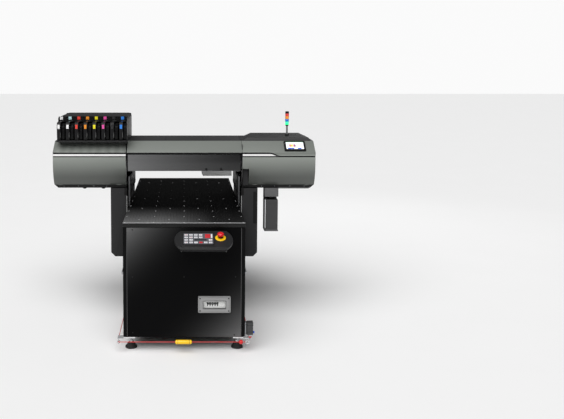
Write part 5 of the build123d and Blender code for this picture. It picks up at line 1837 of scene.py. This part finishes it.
class PRINTER_OT_mechanism(bpy.types.Operator):
    """Finishes for the frame, drives and units whose own shapes are right"""
    bl_idname = "printer.mechanism"
    bl_label = "Frame and mechanism"

    def execute(self, context):
        dress("frame", "base_frame")
        dress("zinc", "vacuum_plenum", "control_box", "y_carriages")
        dress("cast", "vacuum_blower")
        dress("rail", "y_rails", "x_drive")
        dress("beam", "gantry_beam")
        dress("breaker", "power_inlet")
        dress("module", "maintenance_station")
        self.blower()
        self.beam_screws()
        return {"FINISHED"}

    def blower(self):
        """Cooling ribs on the blower's motor."""
        shape = Shape()
        for k in range(10):
            y = back(1.19) + k * 0.0105
            rib = [(0.084, -0.002), (0.093, -0.0012), (0.093, 0.0012), (0.084, 0.002)]
            shape.lathe(rib, (-0.15, y, 0.351), (0, 1, 0), 0, 40)
        shape.piece("blower_ribs", "root", "blower_grey", "cast")

    def beam_screws(self):
        """Two rows of screws that hold the carriage rails to the beam."""
        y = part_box("gantry_beam")[0].y - 0.015
        points = [(x, y, z) for z in (1.16, 1.3) for x in [-0.94 + 0.08 * k for k in range(24)]]
        fasteners("rail_screws", points, FACING_FRONT, 0.0035, 0.0014, "print_unit",
                  "dark_metal")


class PRINTER_OT_stage(bpy.types.Operator):
    """Pale floor, soft studio light and the camera in front of the machine"""
    bl_idname = "printer.stage"
    bl_label = "Studio and camera"

    def execute(self, context):
        settings = context.scene.printer_settings
        self.floor()
        self.world(settings.ambient)
        self.sky(3.3 * settings.light)
        self.light("rear", (2.5, 4.6, 3.0), (0, 0.6, 1.0), (2.4, 2.0), 12 * settings.light)
        context.scene.view_settings.view_transform = "Standard"
        self.camera(context.scene)
        return {"FINISHED"}

    def floor(self):
        mesh = bpy.data.meshes.new("floor")
        half = 40.0
        mesh.from_pydata([(-half, -half, 0), (half, -half, 0), (half, half, 0), (-half, half, 0)], [],
                         [(0, 1, 2, 3)])
        floor = bpy.data.objects.new("floor", mesh)
        shade = Shade("floor_paint", (0.93, 0.93, 0.93), 0.7)
        shade.tint(shade.noise(1.5, 3.0), 0.98)
        mesh.materials.append(shade.material)
        bpy.context.scene.collection.objects.link(floor)

    def world(self, strength):
        world = bpy.data.worlds.new("studio")
        world.use_nodes = True
        tree = world.node_tree
        dim = tree.nodes["Background"]
        dim.inputs["Color"].default_value = (1.0, 1.0, 1.0, 1.0)
        dim.inputs["Strength"].default_value = strength
        pale = tree.nodes.new("ShaderNodeBackground")
        pale.inputs["Color"].default_value = (0.96, 0.96, 0.96, 1.0)
        path = tree.nodes.new("ShaderNodeLightPath")
        mix = tree.nodes.new("ShaderNodeMixShader")
        tree.links.new(path.outputs["Is Camera Ray"], mix.inputs[0])
        tree.links.new(dim.outputs[0], mix.inputs[1])
        tree.links.new(pale.outputs[0], mix.inputs[2])
        tree.links.new(mix.outputs[0], tree.nodes["World Output"].inputs[0])
        bpy.context.scene.world = world

    def light(self, name, place, target, size, power):
        data = bpy.data.lights.new(name, "AREA")
        data.shape = "RECTANGLE"
        data.size, data.size_y = size
        data.energy = power
        lamp = bpy.data.objects.new(name, data)
        lamp.visible_camera = False
        lamp.location = place
        lamp.rotation_euler = (Vector(target) - Vector(place)).to_track_quat("-Z", "Y").to_euler()
        bpy.context.scene.collection.objects.link(lamp)

    def sky(self, strength):
        """Broad soft light from above and in front, the same all over the floor."""
        data = bpy.data.lights.new("sky", "SUN")
        data.energy = strength
        data.angle = radians(70)
        lamp = bpy.data.objects.new("sky", data)
        lamp.rotation_euler = Vector((0.2, 0.52, -0.83)).to_track_quat("-Z", "Y").to_euler()
        bpy.context.scene.collection.objects.link(lamp)

    def camera(self, scene):
        """Front view from above head height, with the machine left of the middle."""
        data = bpy.data.cameras.new("camera")
        camera = bpy.data.objects.new("camera", data)
        data.sensor_width = 36.0
        data.lens = CAMERA_LENS
        data.shift_x = CAMERA_SHIFT[0]
        data.shift_y = CAMERA_SHIFT[1]
        data.clip_end = 200.0
        camera.location = CAMERA_PLACE
        camera.rotation_euler = (pi / 2 - CAMERA_TILT, 0.0, 0.0)
        scene.collection.objects.link(camera)
        scene.camera = camera


CAMERA_PLACE = (0.003, -6.048, 1.979)
CAMERA_LENS = 49.37
CAMERA_TILT = radians(5.0)
CAMERA_SHIFT = (0.1728, -0.1442)


class PrinterSettings(bpy.types.PropertyGroup):
    """Sizes and colours of the finished printer"""
    paint_color: bpy.props.FloatVectorProperty(
        name="Cover paint", description="Colour of the painted covers", subtype="COLOR", size=3, min=0.0,
        max=1.0,
        default=linear((120, 124, 119)))
    panel_color: bpy.props.FloatVectorProperty(
        name="Cabinet", description="Colour of the cabinet's powder coat", subtype="COLOR", size=3, min=0.0,
        max=1.0,
        default=(0.0025, 0.0025, 0.0027))
    groove_pitch: bpy.props.FloatProperty(
        name="Groove pitch", description="Distance between the bed's grooves", default=0.01, min=0.005,
        max=0.05,
        unit="LENGTH")
    hole_step: bpy.props.FloatProperty(
        name="Hole step", description="Distance between suction holes along the bed", default=0.02, min=0.01,
        max=0.1,
        unit="LENGTH")
    bed_screw: bpy.props.FloatProperty(
        name="Bed screw radius", description="Radius of the screws that hold the bed", default=0.0042,
        min=0.001,
        max=0.01, unit="LENGTH")
    screen_glow: bpy.props.FloatProperty(
        name="Screen glow", description="Brightness of the lit displays", default=0.55, min=0.0, max=5.0)
    ambient: bpy.props.FloatProperty(
        name="Ambient light", description="Brightness of the studio's surroundings",
        default=0.12, min=0.0, max=5.0)
    light: bpy.props.FloatProperty(
        name="Lamp strength", description="Multiplies the power of every studio lamp",
        default=1.0, min=0.0, max=10.0)


class PRINTER_OT_finishes(bpy.types.Operator):
    """Materials and node groups that every other step uses"""
    bl_idname = "printer.finishes"
    bl_label = "Finishes"

    def execute(self, context):
        make_finishes(context.scene.printer_settings)
        return {"FINISHED"}


STEPS = (
    PRINTER_OT_finishes, PRINTER_OT_front_panels, PRINTER_OT_housings, PRINTER_OT_middle_cover,
    PRINTER_OT_trim,
    PRINTER_OT_window, PRINTER_OT_ink_tower, PRINTER_OT_top_fittings, PRINTER_OT_carriage,
    PRINTER_OT_undercarriage, PRINTER_OT_bed, PRINTER_OT_table, PRINTER_OT_console, PRINTER_OT_breaker,
    PRINTER_OT_rope, PRINTER_OT_feet, PRINTER_OT_mechanism, PRINTER_OT_stage,
)


class PRINTER_PT_panel(bpy.types.Panel):
    """Lists the steps that build the printer"""
    bl_idname = "PRINTER_PT_panel"
    bl_label = "Flatbed printer"
    bl_space_type = "VIEW_3D"
    bl_region_type = "UI"
    bl_category = "Printer"

    def draw(self, context):
        settings = context.scene.printer_settings
        for name in PrinterSettings.__annotations__:
            self.layout.prop(settings, name)
        for step in STEPS:
            self.layout.operator(step.bl_idname)


CLASSES = (PrinterSettings,) + STEPS + (PRINTER_PT_panel,)


def register():
    for cls in CLASSES:
        bpy.utils.register_class(cls)
    bpy.types.Scene.printer_settings = bpy.props.PointerProperty(type=PrinterSettings)


def unregister():
    del bpy.types.Scene.printer_settings
    for cls in reversed(CLASSES):
        bpy.utils.unregister_class(cls)


def main():
    register()
    for step in STEPS:
        group, name = step.bl_idname.split(".")
        getattr(getattr(bpy.ops, group), name)()


if __name__ == "__main__":
    main()
